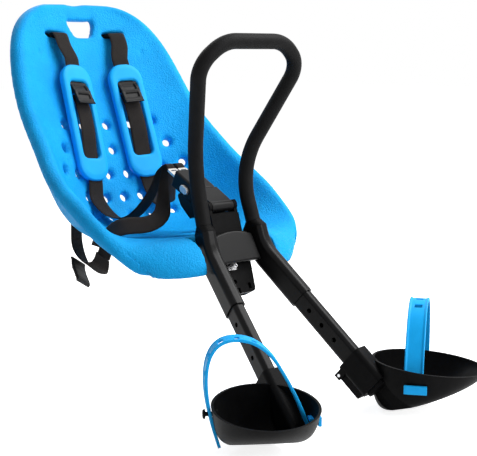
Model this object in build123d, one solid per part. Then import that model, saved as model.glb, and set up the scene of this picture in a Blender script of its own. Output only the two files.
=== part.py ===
"""Front child seat for a bicycle: foam bucket shell, harness, console, grab bar, legs and footrests.

Millimetres, +Z up, -Y is the riding direction, X = 0 is the plane of symmetry and +X is the child's left.
The origin is the middle of the mouth of the socket that drops over the bicycle's adapter.
"""
import os
from math import cos, radians, sin

from build123d import *

# Clearances
RUN_GAP = 0.3
SEAT_GAP = 0.3

# Foam shell: wall, rolled rim, front lip, and one row for each station from the front lip to the top edge
SHELL_WALL = 13.0
SHELL_RIM = 24.0
SHELL_LIP = 20.0
SHELL_EDGE = 12.0
# centre line (y, z), rim line (y, z), half width, power of the bowl's curve
SHELL_STATIONS = [
    ((-4, 40), (44, 42), 126, 3.0),
    ((4, 60), (46, 58), 146, 3.0),
    ((20, 71), (54, 70), 158, 3.0),
    ((52, 70), (70, 84), 165, 3.0),
    ((100, 62), (96, 102), 169, 3.0),
    ((160, 60), (129, 121), 171, 3.0),
    ((212, 69), (158, 137), 170, 3.0),
    ((243, 96), (184, 155), 165, 2.8),
    ((266, 150), (215, 182), 157, 2.6),
    ((292, 212), (262, 228), 146, 2.4),
    ((322, 280), (302, 290), 132, 2.2),
    ((343, 330), (328, 335), 112, 2.2),
    ((355, 362), (345, 363), 84, 2.2),
    ((361, 378), (353, 377), 50, 2.2),
]
SHELL_ACROSS = [0.0, 0.3, 0.55, 0.75, 0.9, 1.0]

# Vent holes: station along the shell and distances from the middle
VENT_R = 6.2
VENT_DISH_R = 10.0
VENT_DISH_DEPTH = 3.5
VENT_ROWS = [
    (8.9, [0, 42, 78]),
    (8.35, [0, 46, 93]),
    (7.78, [16, 48, 76, 108]),
    (7.2, [0, 31, 65]),
    (6.45, [0, 36, 70]),
]
DIMPLE_R = 4.0
DIMPLES = [(10.45, 92), (9.55, 82)]

# Slots and the carry handle in the back
STRAP_SLOT_X = 51.0
STRAP_SLOT_STATION = 11.1
STRAP_SLOT = (38.0, 9.0)
HANDLE_STATION = 11.62
HANDLE_TOP = 54.0
HANDLE_LOW = 28.0
HANDLE_HEIGHT = 25.0
HANDLE_ROUND = 6.0
LAP_SLOT_X = 108.0
LAP_SLOT_STATION = 4.6
LAP_SLOT = (40.0, 9.0)
CONSOLE_NOTCH = (124.0, 37.0)
NOTCH_REACH = 120.0
NOTCH_ROUND = 12.0

# Harness webbing, pads and ladder locks
WEB_WIDTH = 32.0
WEB_THICK = 1.6
WEB_STEPS = 3
PAD_SIZE = (55.0, 172.0, 12.0)
PAD_ROUND = 4.0
PAD_WINDOW = (35.0, 112.0)
PAD_WINDOW_ROUND = 7.0
PAD_WINDOW_RISE = 4.0
PAD_TOP = (44.5, 303.0, 294.0)
PAD_BOTTOM = (43.0, 239.0, 132.0)
PAD_TURN = 10.0
PAD_CHANNEL = (34.0, 3.0)
LOCK_SIZE = (33.0, 24.0, 7.0)
LOCK_BAR = 5.0
LOCK_ALONG = 42.0
RETAINER = (50.0, 22.0, 5.0)
RETAINER_GAP = 1.2
LAP_TAIL = 24.0
LAP_LOCK_WIDTH = 44.0

# Buckle and crotch post
BUCKLE_MIDDLE = (108.0, 146.0)
BUCKLE_TILT = 27.0
BUCKLE_SIZE = (36.0, 48.0, 22.0)
BUCKLE_REAR = 4.0
BUCKLE_TOP = 10.0
TONGUE_SIZE = (15.0, 28.0, 3.0)
TONGUE_X = 8.6
TONGUE_OUT = 16.0
TONGUE_DEEP = 13.0
BUTTON_SIZE = (16.0, 10.0)
BUTTON_ALONG = 26.0
BUTTON_UP = -3.0
BUTTON_PROUD = 3.4
BUTTON_DEEP = 6.0
BUTTON_WELL = 12.0
BUTTON_TRAVEL = 3.0
POST_WIDTH = 36.0
POST_ROUND = 4.0
PIN_R = 3.0
PIN_PLACE = (36.0, 113.0)
EYE_R = 7.0
ANCHOR_WIDTH = 48.0
ANCHOR_EAR = 5.0
ANCHOR_FOOT = (26.0, 81.0)
ANCHOR_LEAN = 17.0
ANCHOR_SIZE = (40.0, 6.0, 8.0)
ANCHOR_STEP = 22.0

# Console, cover and socket, in the plane of the console
CONSOLE_LEAN = 27.0
CONSOLE_TOP = 80.0
BLOCK_LOW = 46.0
BLOCK_HALF = 32.4
COVER_WIDTH = (66.0, 71.0)
COVER_LOW = 38.0
COVER_HEIGHT = 36.0
COVER_ARCH = 6.0
COVER_BACK = 19.0
COVER_THICK = 7.0
SOCKET_PLATE = (60.0, 44.0)
SOCKET_FRONT = 11.0
SOCKET_DEPTH = 18.0
SOCKET_POCKET = (30.0, 8.0, 42.0)
LOCK_HOLE_R = 3.0
LOCK_HOLE_X = 8.0
LOCK_HOLE_RISE = 16.0
LATCH_SIZE = (14.0, 8.0)
LATCH_X = -5.0
LATCH_RISE = 36.0
LATCH_NOSE = 1.0
LATCH_LENGTH = 9.0
LATCH_TRAVEL = 5.0
SCREW_X = 22.0
SCREW_RISE = 60.0
SCREW_R = 3.0
BASE_HALF = 36.0
BASE_FRONT = 12.0
BASE_REAR = 185.0
BASE_FLOOR = 34.0
BASE_CEILING = 62.0
LEG_BOLT = (53.0, 8.0)
LEG_BOLT_LENGTH = 36.0
SEAT_BOLTS = [(-24, 90), (24, 90), (-24, 155), (24, 155)]
BOLT_R = 3.0
BOLT_LENGTH = 28.0

# Frame: round bar in a foam sleeve, then flat oval legs
BAR_R = 7.5
BAR_WALL = 1.8
GRIP_R = 9.8
BAR_FOOT = (43.0, 16.0, 84.0)
BAR_CORNERS = [(39.0, 41.0, 162.0), (84.0, -22.0, 296.0), (50.0, -30.0, 325.0)]
BAR_RADII = [110.0, 33.0, 50.0]
BAR_SINK = 8.0
GRIP_RISE = 9.0
KNEE = (44.5, 7.0, 56.0)
KNEE_R = 60.0
LEG_END = (79.8, -166.4, -98.4)
UPPER_LEG = (20.0, 32.0)
LOWER_LEG = (16.0, 28.0)
LEG_WALL = 2.0
LEG_GAP = 0.15
LEG_ROUND = 7.5
LEG_LENGTH = 238.5
LEG_HOLE_R = 3.2
SEAM_ALONG = 89.0
LEG_SPIGOT = 30.0
CAP_THICK = 4.0

# Footrests
TOE_OUT = 35.0
CUP_MIDDLE = (141.0, -202.0, -75.0)
CUP_WALL = 3.0
# depth below the rim, shift to the heel, half length, half width, tilt of the toe
CUP_RINGS = [
    (0.0, 0.0, 72.0, 61.0, -5.0),
    (18.0, 4.0, 68.0, 58.0, 2.0),
    (38.0, 9.0, 59.0, 51.0, 12.0),
    (47.0, 12.0, 46.0, 39.0, 18.0),
]
SLEEVE_SIZE = (27.0, 40.0)
SLEEVE_ALONG = (190.0, 238.0)
FOOT_STRAP = (24.0, 3.0)
FOOT_STRAP_ALONG = -12.0
FOOT_STRAP_ROUTE = [(-48, -24), (-54, 40), (-8, 98), (58, 62), (65, -6), (61, -40)]
FOOT_STRAP_RADII = [60, 60, 50, 50]
FOOT_STRAP_HOLES = [0.36, 0.45, 0.54, 0.63, 0.72, 0.81, 0.9]
STRAP_TAB_DROP = -20.0
TAB_STEM = (14.0, 4.0)
STUD_R = 2.5
STUD_DROP = -10.0
STUD_HEAD = 68.0
LEVER_SIZE = (16.0, 42.0, 9.0)
LEVER_PIN_ALONG = 197.0
LEVER_PIN_OUT = 5.0
LEVER_PIN_R = 2.0
LUG = (3.5, 9.0)
LUG_ROOT = 8.0
LUG_GAP = 2.2


def unit(vector):
    return vector.normalized()


def catmull(rows, place):
    """Value of a smooth curve through rows at a place counted in rows."""
    low = min(max(int(place), 0), len(rows) - 2)
    share = place - low
    last = len(rows) - 1
    a, b, c, d = (rows[min(max(low + k, 0), last)] for k in (-1, 0, 1, 2))
    return [
        0.5 * (2 * q + (r - p) * share + (2 * p - 5 * q + 4 * r - s) * share**2
               + (3 * q - p - 3 * r + s) * share**3)
        for p, q, r, s in zip(a, b, c, d)
    ]


STATION_ROWS = [[*centre, *rim, width, power] for centre, rim, width, power in SHELL_STATIONS]
LAST_STATION = len(SHELL_STATIONS) - 1


def shell_point(place, x):
    """Point of the shell's middle surface at a station and a distance from the middle."""
    cy, cz, ry, rz, width, power = catmull(STATION_ROWS, place)
    rise = (abs(x) / width) ** power
    return Vector(x, cy + (ry - cy) * rise, cz + (rz - cz) * rise)


def shell_normal(place, x):
    """Unit normal of the middle surface, pointing to the child."""
    step = 0.02
    along = shell_point(place + step, x) - shell_point(place - step, x)
    across = shell_point(place, x + 0.5) - shell_point(place, x - 0.5)
    return unit(across.cross(along))


def shell_section(index):
    """Closed outline of the shell at one station: inside, rim, outside, rim."""
    (cy, cz), (ry, rz), width, _ = SHELL_STATIONS[index]
    at_end = index in (0, LAST_STATION)
    end_normal = unit(Vector(0, ry - cy, rz - cz))
    if index == 0:
        end_normal = end_normal * -1
    middle = SHELL_LIP if index <= 2 else SHELL_WALL
    edge = SHELL_RIM
    if at_end:
        middle = edge = SHELL_EDGE
    inside, outside = [], []
    fractions = [-f for f in reversed(SHELL_ACROSS[1:])] + SHELL_ACROSS
    for fraction in fractions:
        x = fraction * width
        point = shell_point(index, x)
        normal = end_normal if at_end else shell_normal(index, x)
        half = (middle + (edge - middle) * abs(fraction) ** 4) / 2
        inside.append(point + normal * half)
        outside.append(point - normal * half)
    crests = []
    for side in (0, -1):
        middle_point = (inside[side] + outside[side]) / 2
        away = middle_point - (inside[side + 1 if side == 0 else -2] + outside[side + 1 if side == 0 else -2]) / 2
        if at_end:
            away = Vector(-1 if side == 0 else 1, 0, 0)
        crests.append(middle_point + unit(away) * (edge / 2))
    steps = [(fraction + 1) / 2 for fraction in fractions]
    return Wire([
        Edge.make_spline(inside, parameters=steps),
        Edge.make_three_point_arc(inside[-1], crests[1], outside[-1]),
        Edge.make_spline(outside[::-1], parameters=steps),
        Edge.make_three_point_arc(outside[0], crests[0], inside[0]),
    ])


def surface_plane(place, x):
    """Plane on the shell's middle surface, Z to the child and Y up along the shell."""
    normal = shell_normal(place, x)
    across = shell_point(place, x + 0.5) - shell_point(place, x - 0.5)
    return Plane(origin=shell_point(place, x), x_dir=across, z_dir=normal)


def vent_cutter(place, x):
    """Round hole with a soft dish on the child's side."""
    inner = SHELL_WALL / 2
    reach = SHELL_RIM
    profile = Polyline(
        (0, -reach), (VENT_R, -reach), (VENT_R, inner - VENT_DISH_DEPTH),
        (VENT_DISH_R, inner + 1.0), (VENT_DISH_R, reach), (0, reach), close=True,
    )
    return surface_plane(place, x) * revolve(Plane.XZ * make_face(profile), Axis.Z)


def seat_shell():
    """Foam bucket with its vents, strap slots, carry handle and the notch for the console."""
    body = Solid.make_loft([shell_section(i) for i in range(len(SHELL_STATIONS))])
    cutters = []
    for place, distances in VENT_ROWS:
        for x in distances:
            cutters.append(vent_cutter(place, x))
            if x:
                cutters.append(vent_cutter(place, -x))
    for place, x in DIMPLES:
        for side in (-1, 1):
            dimple = Pos(0, 0, SHELL_WALL / 2 + DIMPLE_R / 2) * Sphere(DIMPLE_R)
            cutters.append(surface_plane(place, side * x) * dimple)
    for side in (-1, 1):
        slot = extrude(SlotOverall(*STRAP_SLOT), SHELL_RIM, both=True)
        cutters.append(surface_plane(STRAP_SLOT_STATION, side * STRAP_SLOT_X) * slot)
        lap = extrude(SlotOverall(*LAP_SLOT), SHELL_RIM, both=True)
        cutters.append(surface_plane(LAP_SLOT_STATION, side * LAP_SLOT_X) * Rot(0, 0, 90) * lap)
    opening = make_face(Polyline(
        (-HANDLE_TOP / 2, HANDLE_HEIGHT / 2), (HANDLE_TOP / 2, HANDLE_HEIGHT / 2),
        (HANDLE_LOW / 2, -HANDLE_HEIGHT / 2), (-HANDLE_LOW / 2, -HANDLE_HEIGHT / 2), close=True,
    ))
    opening = fillet(opening.vertices(), HANDLE_ROUND)
    cutters.append(surface_plane(HANDLE_STATION, 0) * extrude(opening, SHELL_RIM, both=True))
    notch = Box(CONSOLE_NOTCH[0], NOTCH_REACH, 2 * NOTCH_REACH)
    notch = fillet(notch.edges().filter_by(Axis.Z), NOTCH_ROUND)
    cutters.append(Pos(0, CONSOLE_NOTCH[1] - NOTCH_REACH / 2, KNEE[2]) * notch)
    for x, y in SEAT_BOLTS:
        cutters.append(Pos(x, y, BASE_FLOOR) * Cylinder(BOLT_R + RUN_GAP, 2 * BOLT_LENGTH))
    return body - cutters


def ribbon(points, width_dirs, widths):
    """Flat webbing through hand-chosen points, with its width direction and width at each."""
    rows = [[*Vector(*p), *Vector(*d), w] for p, d, w in zip(points, width_dirs, widths)]
    last = len(rows) - 1
    steps = [k / WEB_STEPS for k in range(last * WEB_STEPS + 1)]
    sections = []
    for step in steps:
        x, y, z, dx, dy, dz, width = catmull(rows, step)
        ahead = catmull(rows, min(step + 0.05, last))
        behind = catmull(rows, max(step - 0.05, 0))
        along = Vector(*ahead[:3]) - Vector(*behind[:3])
        plane = Plane(origin=(x, y, z), x_dir=(dx, dy, dz), z_dir=along)
        sections.append(plane * Rectangle(width, WEB_THICK))
    return loft(sections, ruled=True)


def pad_plane(side):
    """Plane in the middle of a shoulder pad, Y up along it and Z to the child."""
    top = Vector(side * PAD_TOP[0], PAD_TOP[1], PAD_TOP[2])
    low = Vector(side * PAD_BOTTOM[0], PAD_BOTTOM[1], PAD_BOTTOM[2])
    up = unit(top - low)
    across = Vector(cos(radians(PAD_TURN)), -side * sin(radians(PAD_TURN)), 0)
    return Plane(origin=(top + low) / 2, x_dir=across, z_dir=across.cross(up))


def shoulder_pad(side):
    width, length, thick = PAD_SIZE
    pad = extrude(RectangleRounded(width, length, width * 0.28), thick / 2, both=True)
    rims = pad.faces().sort_by(Axis.Z)[-1].edges() + pad.faces().sort_by(Axis.Z)[0].edges()
    pad = fillet(rims, PAD_ROUND)
    window = extrude(RectangleRounded(*PAD_WINDOW, PAD_WINDOW_ROUND), thick)
    pad -= Pos(0, PAD_WINDOW_RISE, 0) * window
    pad -= Box(PAD_CHANNEL[0], length + thick, PAD_CHANNEL[1])
    return pad_plane(side) * pad


def strap_slot_plane(side):
    return surface_plane(STRAP_SLOT_STATION, side * STRAP_SLOT_X)


def shoulder_strap(side):
    """Webbing from the retainer behind the back, through its slot, to the ladder lock on the pad."""
    slot = strap_slot_plane(side)
    pad = pad_plane(side)
    top = PAD_SIZE[1] / 2
    points = [
        slot.from_local_coords(Vector(0, 0, -SHELL_WALL / 2 - RETAINER[2])),
        slot.from_local_coords(Vector(0, 0, SHELL_WALL / 2)),
        slot.from_local_coords(Vector(0, -3, SHELL_WALL / 2 + 9)),
        pad.from_local_coords(Vector(0, top + 12, 1)),
        pad.from_local_coords(Vector(0, top, 0)),
        pad.from_local_coords(Vector(0, LOCK_ALONG + 1, 0)),
    ]
    across = [slot.x_dir] * 3 + [pad.x_dir] * 3
    return ribbon(points, across, [WEB_WIDTH] * len(points))


def strap_retainer(side):
    """Slotted bar that stops the shoulder strap behind the back."""
    bar = extrude(RectangleRounded(RETAINER[0], RETAINER[1], 4.0), RETAINER[2])
    bar -= Box(WEB_WIDTH + 1, WEB_THICK + 1, 3 * RETAINER[2])
    return strap_slot_plane(side) * Pos(0, 0, -SHELL_WALL / 2 - RETAINER_GAP - RETAINER[2]) * bar


def ladder_lock(width):
    """Three-bar webbing slide, flat in XY."""
    _, length, thick = LOCK_SIZE
    plate = extrude(RectangleRounded(width, length, 3.0), thick)
    plate = fillet(plate.faces().sort_by(Axis.Z)[-1].edges(), 1.5)
    gap = (length - 3 * LOCK_BAR) / 2
    for sign in (-1, 1):
        plate -= Pos(0, sign * (LOCK_BAR + gap) / 2, 0) * Box(width - 2 * LOCK_BAR, gap, 4 * thick)
    return plate


def strap_adjuster(side):
    return pad_plane(side) * Pos(0, LOCK_ALONG, WEB_THICK / 2 + SEAT_GAP) * ladder_lock(LOCK_SIZE[0])


def tongue_plane(side):
    """Plane at the rear mouth of the buckle, X across and Z out along the tongue."""
    return Plane(
        origin=buckle_point(side * TONGUE_X, -BUCKLE_REAR, 0), x_dir=(1, 0, 0), z_dir=BUCKLE_AXIS * -1,
    )


def buckle_point(x, along, up):
    """Point in the buckle's own directions: along runs forward and down, up stands on its top."""
    y, z = BUCKLE_MIDDLE
    return Vector(x, y, z) + BUCKLE_AXIS * along + BUCKLE_UP * up


BUCKLE_AXIS = Vector(0, -cos(radians(BUCKLE_TILT)), -sin(radians(BUCKLE_TILT)))
BUCKLE_UP = Vector(0, -sin(radians(BUCKLE_TILT)), cos(radians(BUCKLE_TILT)))


def strap_ends(side, level):
    """Last two points of a strap that meets its tongue from behind: level 1 on top, -1 underneath."""
    rear = BUCKLE_REAR + TONGUE_OUT + SEAT_GAP
    entry = buckle_point(side * TONGUE_X, -rear - 9, level * 2.4)
    return entry, buckle_point(side * TONGUE_X, -rear, level * 1.2)


def harness_strap(side):
    """Webbing from the ladder lock, out of the pad's lower end, to the top of the buckle tongue."""
    pad = pad_plane(side)
    points = [
        pad.from_local_coords(Vector(0, LOCK_ALONG - 1, 0)),
        pad.from_local_coords(Vector(0, 0, 0)),
        pad.from_local_coords(Vector(0, -PAD_SIZE[1] / 2, 0)),
    ]
    across = [pad.x_dir] * 3
    entry, end = strap_ends(side, 1)
    if side < 0:
        points += [(-46, 229, 108), (-51, 208, 95), (-54, 180, 92), (-48, 160, 104), (-40, 161, 128),
                   (-28, 158, 150), (-16, 150, 163), entry]
        across += [(0.97, -0.2, 0.1), (0.85, -0.3, -0.4), (0.6, -0.3, -0.7), (0.6, -0.5, -0.6),
                   (0.7, -0.6, -0.35), (0.8, -0.5, -0.2), (0.95, -0.2, -0.1), (1, 0, 0)]
        widths = [WEB_WIDTH] * 7 + [28, 22, 16, TONGUE_SIZE[0] - 2]
    else:
        points += [(43, 229, 108), (40, 208, 99), (31, 181, 108), (21, 165, 136), (13, 153, 159), entry]
        across += [(0.98, 0.1, 0), (0.95, 0.2, 0.1), (0.9, 0.3, 0.2), (0.95, 0.2, 0.1), (1, 0, 0), (1, 0, 0)]
        widths = [WEB_WIDTH] * 5 + [26, 20, 15, TONGUE_SIZE[0] - 2]
    return ribbon(points + [end], across + [(1, 0, 0)], widths + [TONGUE_SIZE[0] - 2])


def lap_slot_plane(side):
    return surface_plane(LAP_SLOT_STATION, side * LAP_SLOT_X)


def lap_strap(side):
    """Webbing from the lock under the shell, up through the side slot, to the buckle tongue."""
    slot = lap_slot_plane(side)
    entry, end = strap_ends(side, -1)
    points = [
        slot.from_local_coords(Vector(0, 0, -SHELL_WALL / 2 - LAP_TAIL)),
        slot.from_local_coords(Vector(0, 0, -SHELL_WALL / 2)),
        slot.from_local_coords(Vector(0, 0, SHELL_WALL / 2)),
        (side * 92, 128, 92),
        (side * 62, 124, 100),
        (side * 34, 132, 112),
        (side * 19, 141, 131),
        (side * 11, 142, 149),
        entry,
        end,
    ]
    across = [slot.y_dir] * 3 + [
        Vector(0.1, 0.75, 0.65), Vector(side * 0.3, 0.75, 0.6), Vector(side * 0.6, 0.7, 0.3),
        Vector(side, 0.3, 0.1), Vector(side, 0, 0), Vector(side, 0, 0), Vector(side, 0, 0),
    ]
    widths = [WEB_WIDTH] * 5 + [26, 19, 15, TONGUE_SIZE[0] - 2, TONGUE_SIZE[0] - 2]
    return ribbon(points, across, widths)


def lap_adjuster(side):
    """Ladder lock that stops the lap strap under the shell."""
    slot = lap_slot_plane(side)
    lock = Rot(0, 0, 90) * ladder_lock(LAP_LOCK_WIDTH)
    return slot * Pos((LOCK_BAR + WEB_THICK) / 2 + SEAT_GAP, 0, -SHELL_WALL / 2 - LOCK_SIZE[2] - 4.5) * lock


def buckle_tongue(side):
    """Flat steel tongue with a slot for the webbing."""
    width, length, thick = TONGUE_SIZE
    plate = Box(width, thick, length)
    plate = fillet(plate.edges().filter_by(Axis.Y), 3.0)
    plate -= Pos(0, 0, length / 2 - 5.0) * Box(width - 6.0, 2 * thick, 3.0)
    return tongue_plane(side) * Pos(0, 0, TONGUE_OUT - length / 2) * plate


def buckle_plane():
    """Plane in the middle of the buckle, X across, Y forward along it and Z up."""
    forward = buckle_point(0, BUCKLE_SIZE[1] / 2 - BUCKLE_REAR, BUCKLE_TOP - BUCKLE_SIZE[2] / 2)
    return Plane(origin=forward, x_dir=BUCKLE_UP.cross(BUCKLE_AXIS) * -1, z_dir=BUCKLE_UP)


def button_place(side):
    return buckle_point(side * BUCKLE_SIZE[0] / 2, BUTTON_ALONG, BUTTON_UP)


def button_plane(side):
    return Plane(origin=button_place(side), x_dir=BUCKLE_AXIS, z_dir=(side, 0, 0))


def buckle_body():
    width, length, thick = BUCKLE_SIZE
    body = extrude(RectangleRounded(width, length, 5.0), thick / 2, both=True)
    body = fillet(body.faces().sort_by(Axis.Z)[-1].edges(), 3.0)
    body = buckle_plane() * body
    for side in (-1, 1):
        mouth = Box(TONGUE_SIZE[0] + 2 * RUN_GAP, TONGUE_SIZE[2] + 2 * RUN_GAP, 2 * TONGUE_DEEP + 1)
        body -= tongue_plane(side) * mouth
        well = extrude(SlotOverall(BUTTON_SIZE[0] + 2 * RUN_GAP, BUTTON_SIZE[1] + 2 * RUN_GAP), BUTTON_WELL, both=True)
        body -= button_plane(side) * well
    return body


def buckle_button(side):
    """Oval release button on the side of the buckle."""
    key = extrude(SlotOverall(*BUTTON_SIZE), BUTTON_DEEP + BUTTON_PROUD)
    key = fillet(key.faces().sort_by(Axis.Z)[-1].edges(), 1.2)
    return button_plane(side) * Pos(0, 0, -BUTTON_DEEP) * key


def plain_spring(radius, wire, length):
    """Outer size of a small coil spring, along Z from the origin."""
    return Pos(0, 0, length / 2) * (Cylinder(radius, length) - Cylinder(radius - wire, 2 * length))


def button_spring(side):
    length = BUTTON_WELL - BUTTON_DEEP
    return button_plane(side) * Pos(0, 0, -BUTTON_WELL) * plain_spring(3.0, 0.8, length)


def crotch_post():
    """Moulded post that carries the buckle, with an eye round the anchor pin."""
    top_front = buckle_point(0, BUCKLE_SIZE[1] - BUCKLE_REAR + SEAT_GAP, BUCKLE_TOP)
    low_front = buckle_point(0, BUCKLE_SIZE[1] - BUCKLE_REAR + SEAT_GAP, BUCKLE_TOP - BUCKLE_SIZE[2] - SEAT_GAP)
    low_rear = buckle_point(0, 8, BUCKLE_TOP - BUCKLE_SIZE[2] - SEAT_GAP)
    eye_y, eye_z = PIN_PLACE
    side_view = [
        (eye_y, eye_z + EYE_R), (top_front.Y, top_front.Z), (low_front.Y, low_front.Z),
        (low_rear.Y, low_rear.Z), (low_rear.Y - 12, low_rear.Z - 22), (eye_y + 40, eye_z - 19),
        (eye_y + 10, eye_z - EYE_R),
    ]
    profile = make_face(Polyline(*side_view, close=True))
    profile = fillet(profile.vertices().sort_by(Axis.X)[-2:], POST_ROUND)
    profile += Pos(eye_y, eye_z) * Circle(EYE_R)
    post = extrude(Plane.YZ * profile, POST_WIDTH / 2, both=True)
    return post - Pos(0, eye_y, eye_z) * Rot(0, 90, 0) * Cylinder(PIN_R + RUN_GAP, 2 * POST_WIDTH)


def anchor_pin():
    eye_y, eye_z = PIN_PLACE
    return Pos(0, eye_y, eye_z) * Rot(0, 90, 0) * Cylinder(PIN_R, ANCHOR_WIDTH)


def crotch_anchor():
    """Bracket on the console with two ears for the anchor pin."""
    lean = Plane(origin=(0, *ANCHOR_FOOT), x_dir=(1, 0, 0),
                 z_dir=(0, -cos(radians(ANCHOR_LEAN)), sin(radians(ANCHOR_LEAN))))
    height, front, rear = ANCHOR_SIZE
    block = Pos(0, height / 2 - 8, (front - rear) / 2) * Box(ANCHOR_WIDTH, height + 16, front + rear)
    block -= Pos(0, ANCHOR_STEP + height / 2, front) * Box(2 * ANCHOR_WIDTH, height, 3.0)
    block = lean * block
    inside = ANCHOR_WIDTH - 2 * ANCHOR_EAR
    eye_y, eye_z = PIN_PLACE
    block -= Pos(0, eye_y + 14, eye_z + 8) * Box(inside, 28 + 2 * EYE_R + 2, 2 * EYE_R + 18)
    block += Pos(0, eye_y, eye_z) * Rot(0, 90, 0) * (Cylinder(EYE_R, ANCHOR_WIDTH) - Cylinder(2 * EYE_R, inside))
    block -= Pos(0, eye_y, eye_z) * Rot(0, 90, 0) * Cylinder(PIN_R + 0.05, 2 * ANCHOR_WIDTH)
    return block - console_plane() * Pos(0, CONSOLE_TOP + SEAT_GAP - 50, 0) * Box(200, 100, 200)


def console_plane():
    """Plane through the socket's mouth, Y up along the leaning console and Z forward."""
    lean = radians(CONSOLE_LEAN)
    return Plane(origin=(0, 0, 0), x_dir=(1, 0, 0), z_dir=(0, -cos(lean), sin(lean)))


def console_body(shell):
    """Moulded console with the adapter socket and the tongue that carries the shell."""
    low, high = SOCKET_PLATE
    plate = make_face(Polyline((-high / 2, 0), (high / 2, 0), (low / 2, BLOCK_LOW), (-low / 2, BLOCK_LOW), close=True))
    plate = fillet(plate.vertices().sort_by(Axis.Y)[:2], 6.0)
    body = Pos(0, 0, SOCKET_FRONT - SOCKET_DEPTH) * extrude(plate, SOCKET_DEPTH)
    block_height = CONSOLE_TOP - BLOCK_LOW
    block_depth = COVER_BACK - SOCKET_FRONT + SOCKET_DEPTH
    block = Box(2 * BLOCK_HALF, block_height, block_depth)
    body += Pos(0, BLOCK_LOW + block_height / 2, COVER_BACK - block_depth / 2) * block
    width, thick, deep = SOCKET_POCKET
    body -= Pos(0, deep / 2 - 1, 0) * Box(width, deep + 2, thick)
    wall = SOCKET_FRONT
    body -= Pos(-LOCK_HOLE_X, LOCK_HOLE_RISE, wall) * Cylinder(LOCK_HOLE_R, 2 * wall - thick)
    body -= Pos(-10, 3, wall) * Box(14, 8, 2 * wall - thick)
    body -= Pos(14, 8, wall) * Box(5, 8, 8)
    body -= latch_place() * Pos(0, 0, 50) * Box(LATCH_SIZE[0] + 2 * RUN_GAP, LATCH_SIZE[1] + 2 * RUN_GAP, 100)
    body = console_plane() * body
    tongue = Pos(0, (BASE_REAR + BASE_FRONT) / 2, (BASE_FLOOR + BASE_CEILING) / 2) * Box(
        2 * BASE_HALF, BASE_REAR - BASE_FRONT, BASE_CEILING - BASE_FLOOR)
    tongue = fillet(tongue.edges().filter_by(Axis.Z).sort_by(Axis.Y)[-2:], 20.0)
    front = console_plane() * Pos(0, 50, 50 + SOCKET_FRONT - SOCKET_DEPTH) * Box(400, 400, 100)
    body += tongue - front
    cutters = leg_clearance() + leg_bolt_room()
    cutters += [shell, Pos(0, -SEAT_GAP, -SEAT_GAP) * shell]
    for x, y in SEAT_BOLTS:
        cutters.append(Pos(x, y, BASE_FLOOR) * Cylinder(BOLT_R + RUN_GAP, 6 * BOLT_LENGTH))
    return body - cutters


def latch_place():
    """Where the latch bolt slides, in the console's plane, Z from the middle of the socket's front half."""
    return Pos(LATCH_X, LATCH_RISE, LATCH_NOSE)


def latch_bolt():
    bolt = Pos(0, 0, LATCH_LENGTH / 2) * Box(LATCH_SIZE[0], LATCH_SIZE[1], LATCH_LENGTH)
    bolt = chamfer(bolt.faces().sort_by(Axis.Z)[0].edges().sort_by(Axis.Y)[:1], 2.5)
    return console_plane() * latch_place() * bolt


def latch_spring():
    length = COVER_BACK - LATCH_NOSE - LATCH_LENGTH
    return console_plane() * latch_place() * Pos(0, 0, LATCH_LENGTH) * plain_spring(3.2, 0.8, length)


def console_cover():
    """Smooth curved cover between the two legs."""
    top, low = COVER_WIDTH
    outline = make_face([
        Polyline((top / 2, COVER_LOW + COVER_HEIGHT), (low / 2, COVER_LOW), (-low / 2, COVER_LOW),
                 (-top / 2, COVER_LOW + COVER_HEIGHT)),
        ThreePointArc((-top / 2, COVER_LOW + COVER_HEIGHT), (0, COVER_LOW + COVER_HEIGHT + COVER_ARCH),
                      (top / 2, COVER_LOW + COVER_HEIGHT)),
    ])
    cover = extrude(outline, COVER_THICK)
    cover = fillet(cover.faces().sort_by(Axis.Z)[-1].edges(), 2.5)
    cover = Pos(0, 0, COVER_BACK) * cover
    for sign in (-1, 1):
        cover -= Pos(sign * SCREW_X, SCREW_RISE, COVER_BACK) * Cylinder(SCREW_R + 0.1, 2 * COVER_THICK - 4)
    return console_plane() * cover - leg_clearance()


def bar_axis():
    """Unit direction of the bar where it goes down into the legs, on the child's left."""
    return unit(Vector(*KNEE) - Vector(*BAR_FOOT))


def leg_axis():
    return unit(Vector(*LEG_END) - Vector(*KNEE))


def leg_across():
    return unit(bar_axis().cross(leg_axis()))


def leg_plane(along):
    """Plane across the straight leg at a distance from the knee, X across and Z down the leg."""
    return Plane(origin=Vector(*KNEE) + leg_axis() * along, x_dir=leg_across(), z_dir=leg_axis())


def on_side(shape, side):
    """Right-hand shapes as they are, left-hand ones mirrored."""
    return shape if side > 0 else mirror(shape, about=Plane.YZ)


def bar_path(rise):
    """Centre line of the grab bar, starting a distance above the foot of the bar."""
    foot = Vector(*BAR_FOOT) - bar_axis() * rise
    right = [foot] + [Vector(*corner) for corner in BAR_CORNERS]
    left = [Vector(-p.X, p.Y, p.Z) for p in reversed(right)]
    return FilletPolyline(*right, *left, radius=BAR_RADII + BAR_RADII[::-1])


def swept_ring(path, outer, inner):
    start = Plane(origin=path @ 0, z_dir=path % 0)
    return sweep(start * (Circle(outer) - Circle(inner)), path=path)


def grab_bar_tube():
    return swept_ring(bar_path(-BAR_SINK), BAR_R, BAR_R - BAR_WALL)


def grab_bar_grip():
    return swept_ring(bar_path(GRIP_RISE), GRIP_R, BAR_R + 0.15)


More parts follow.
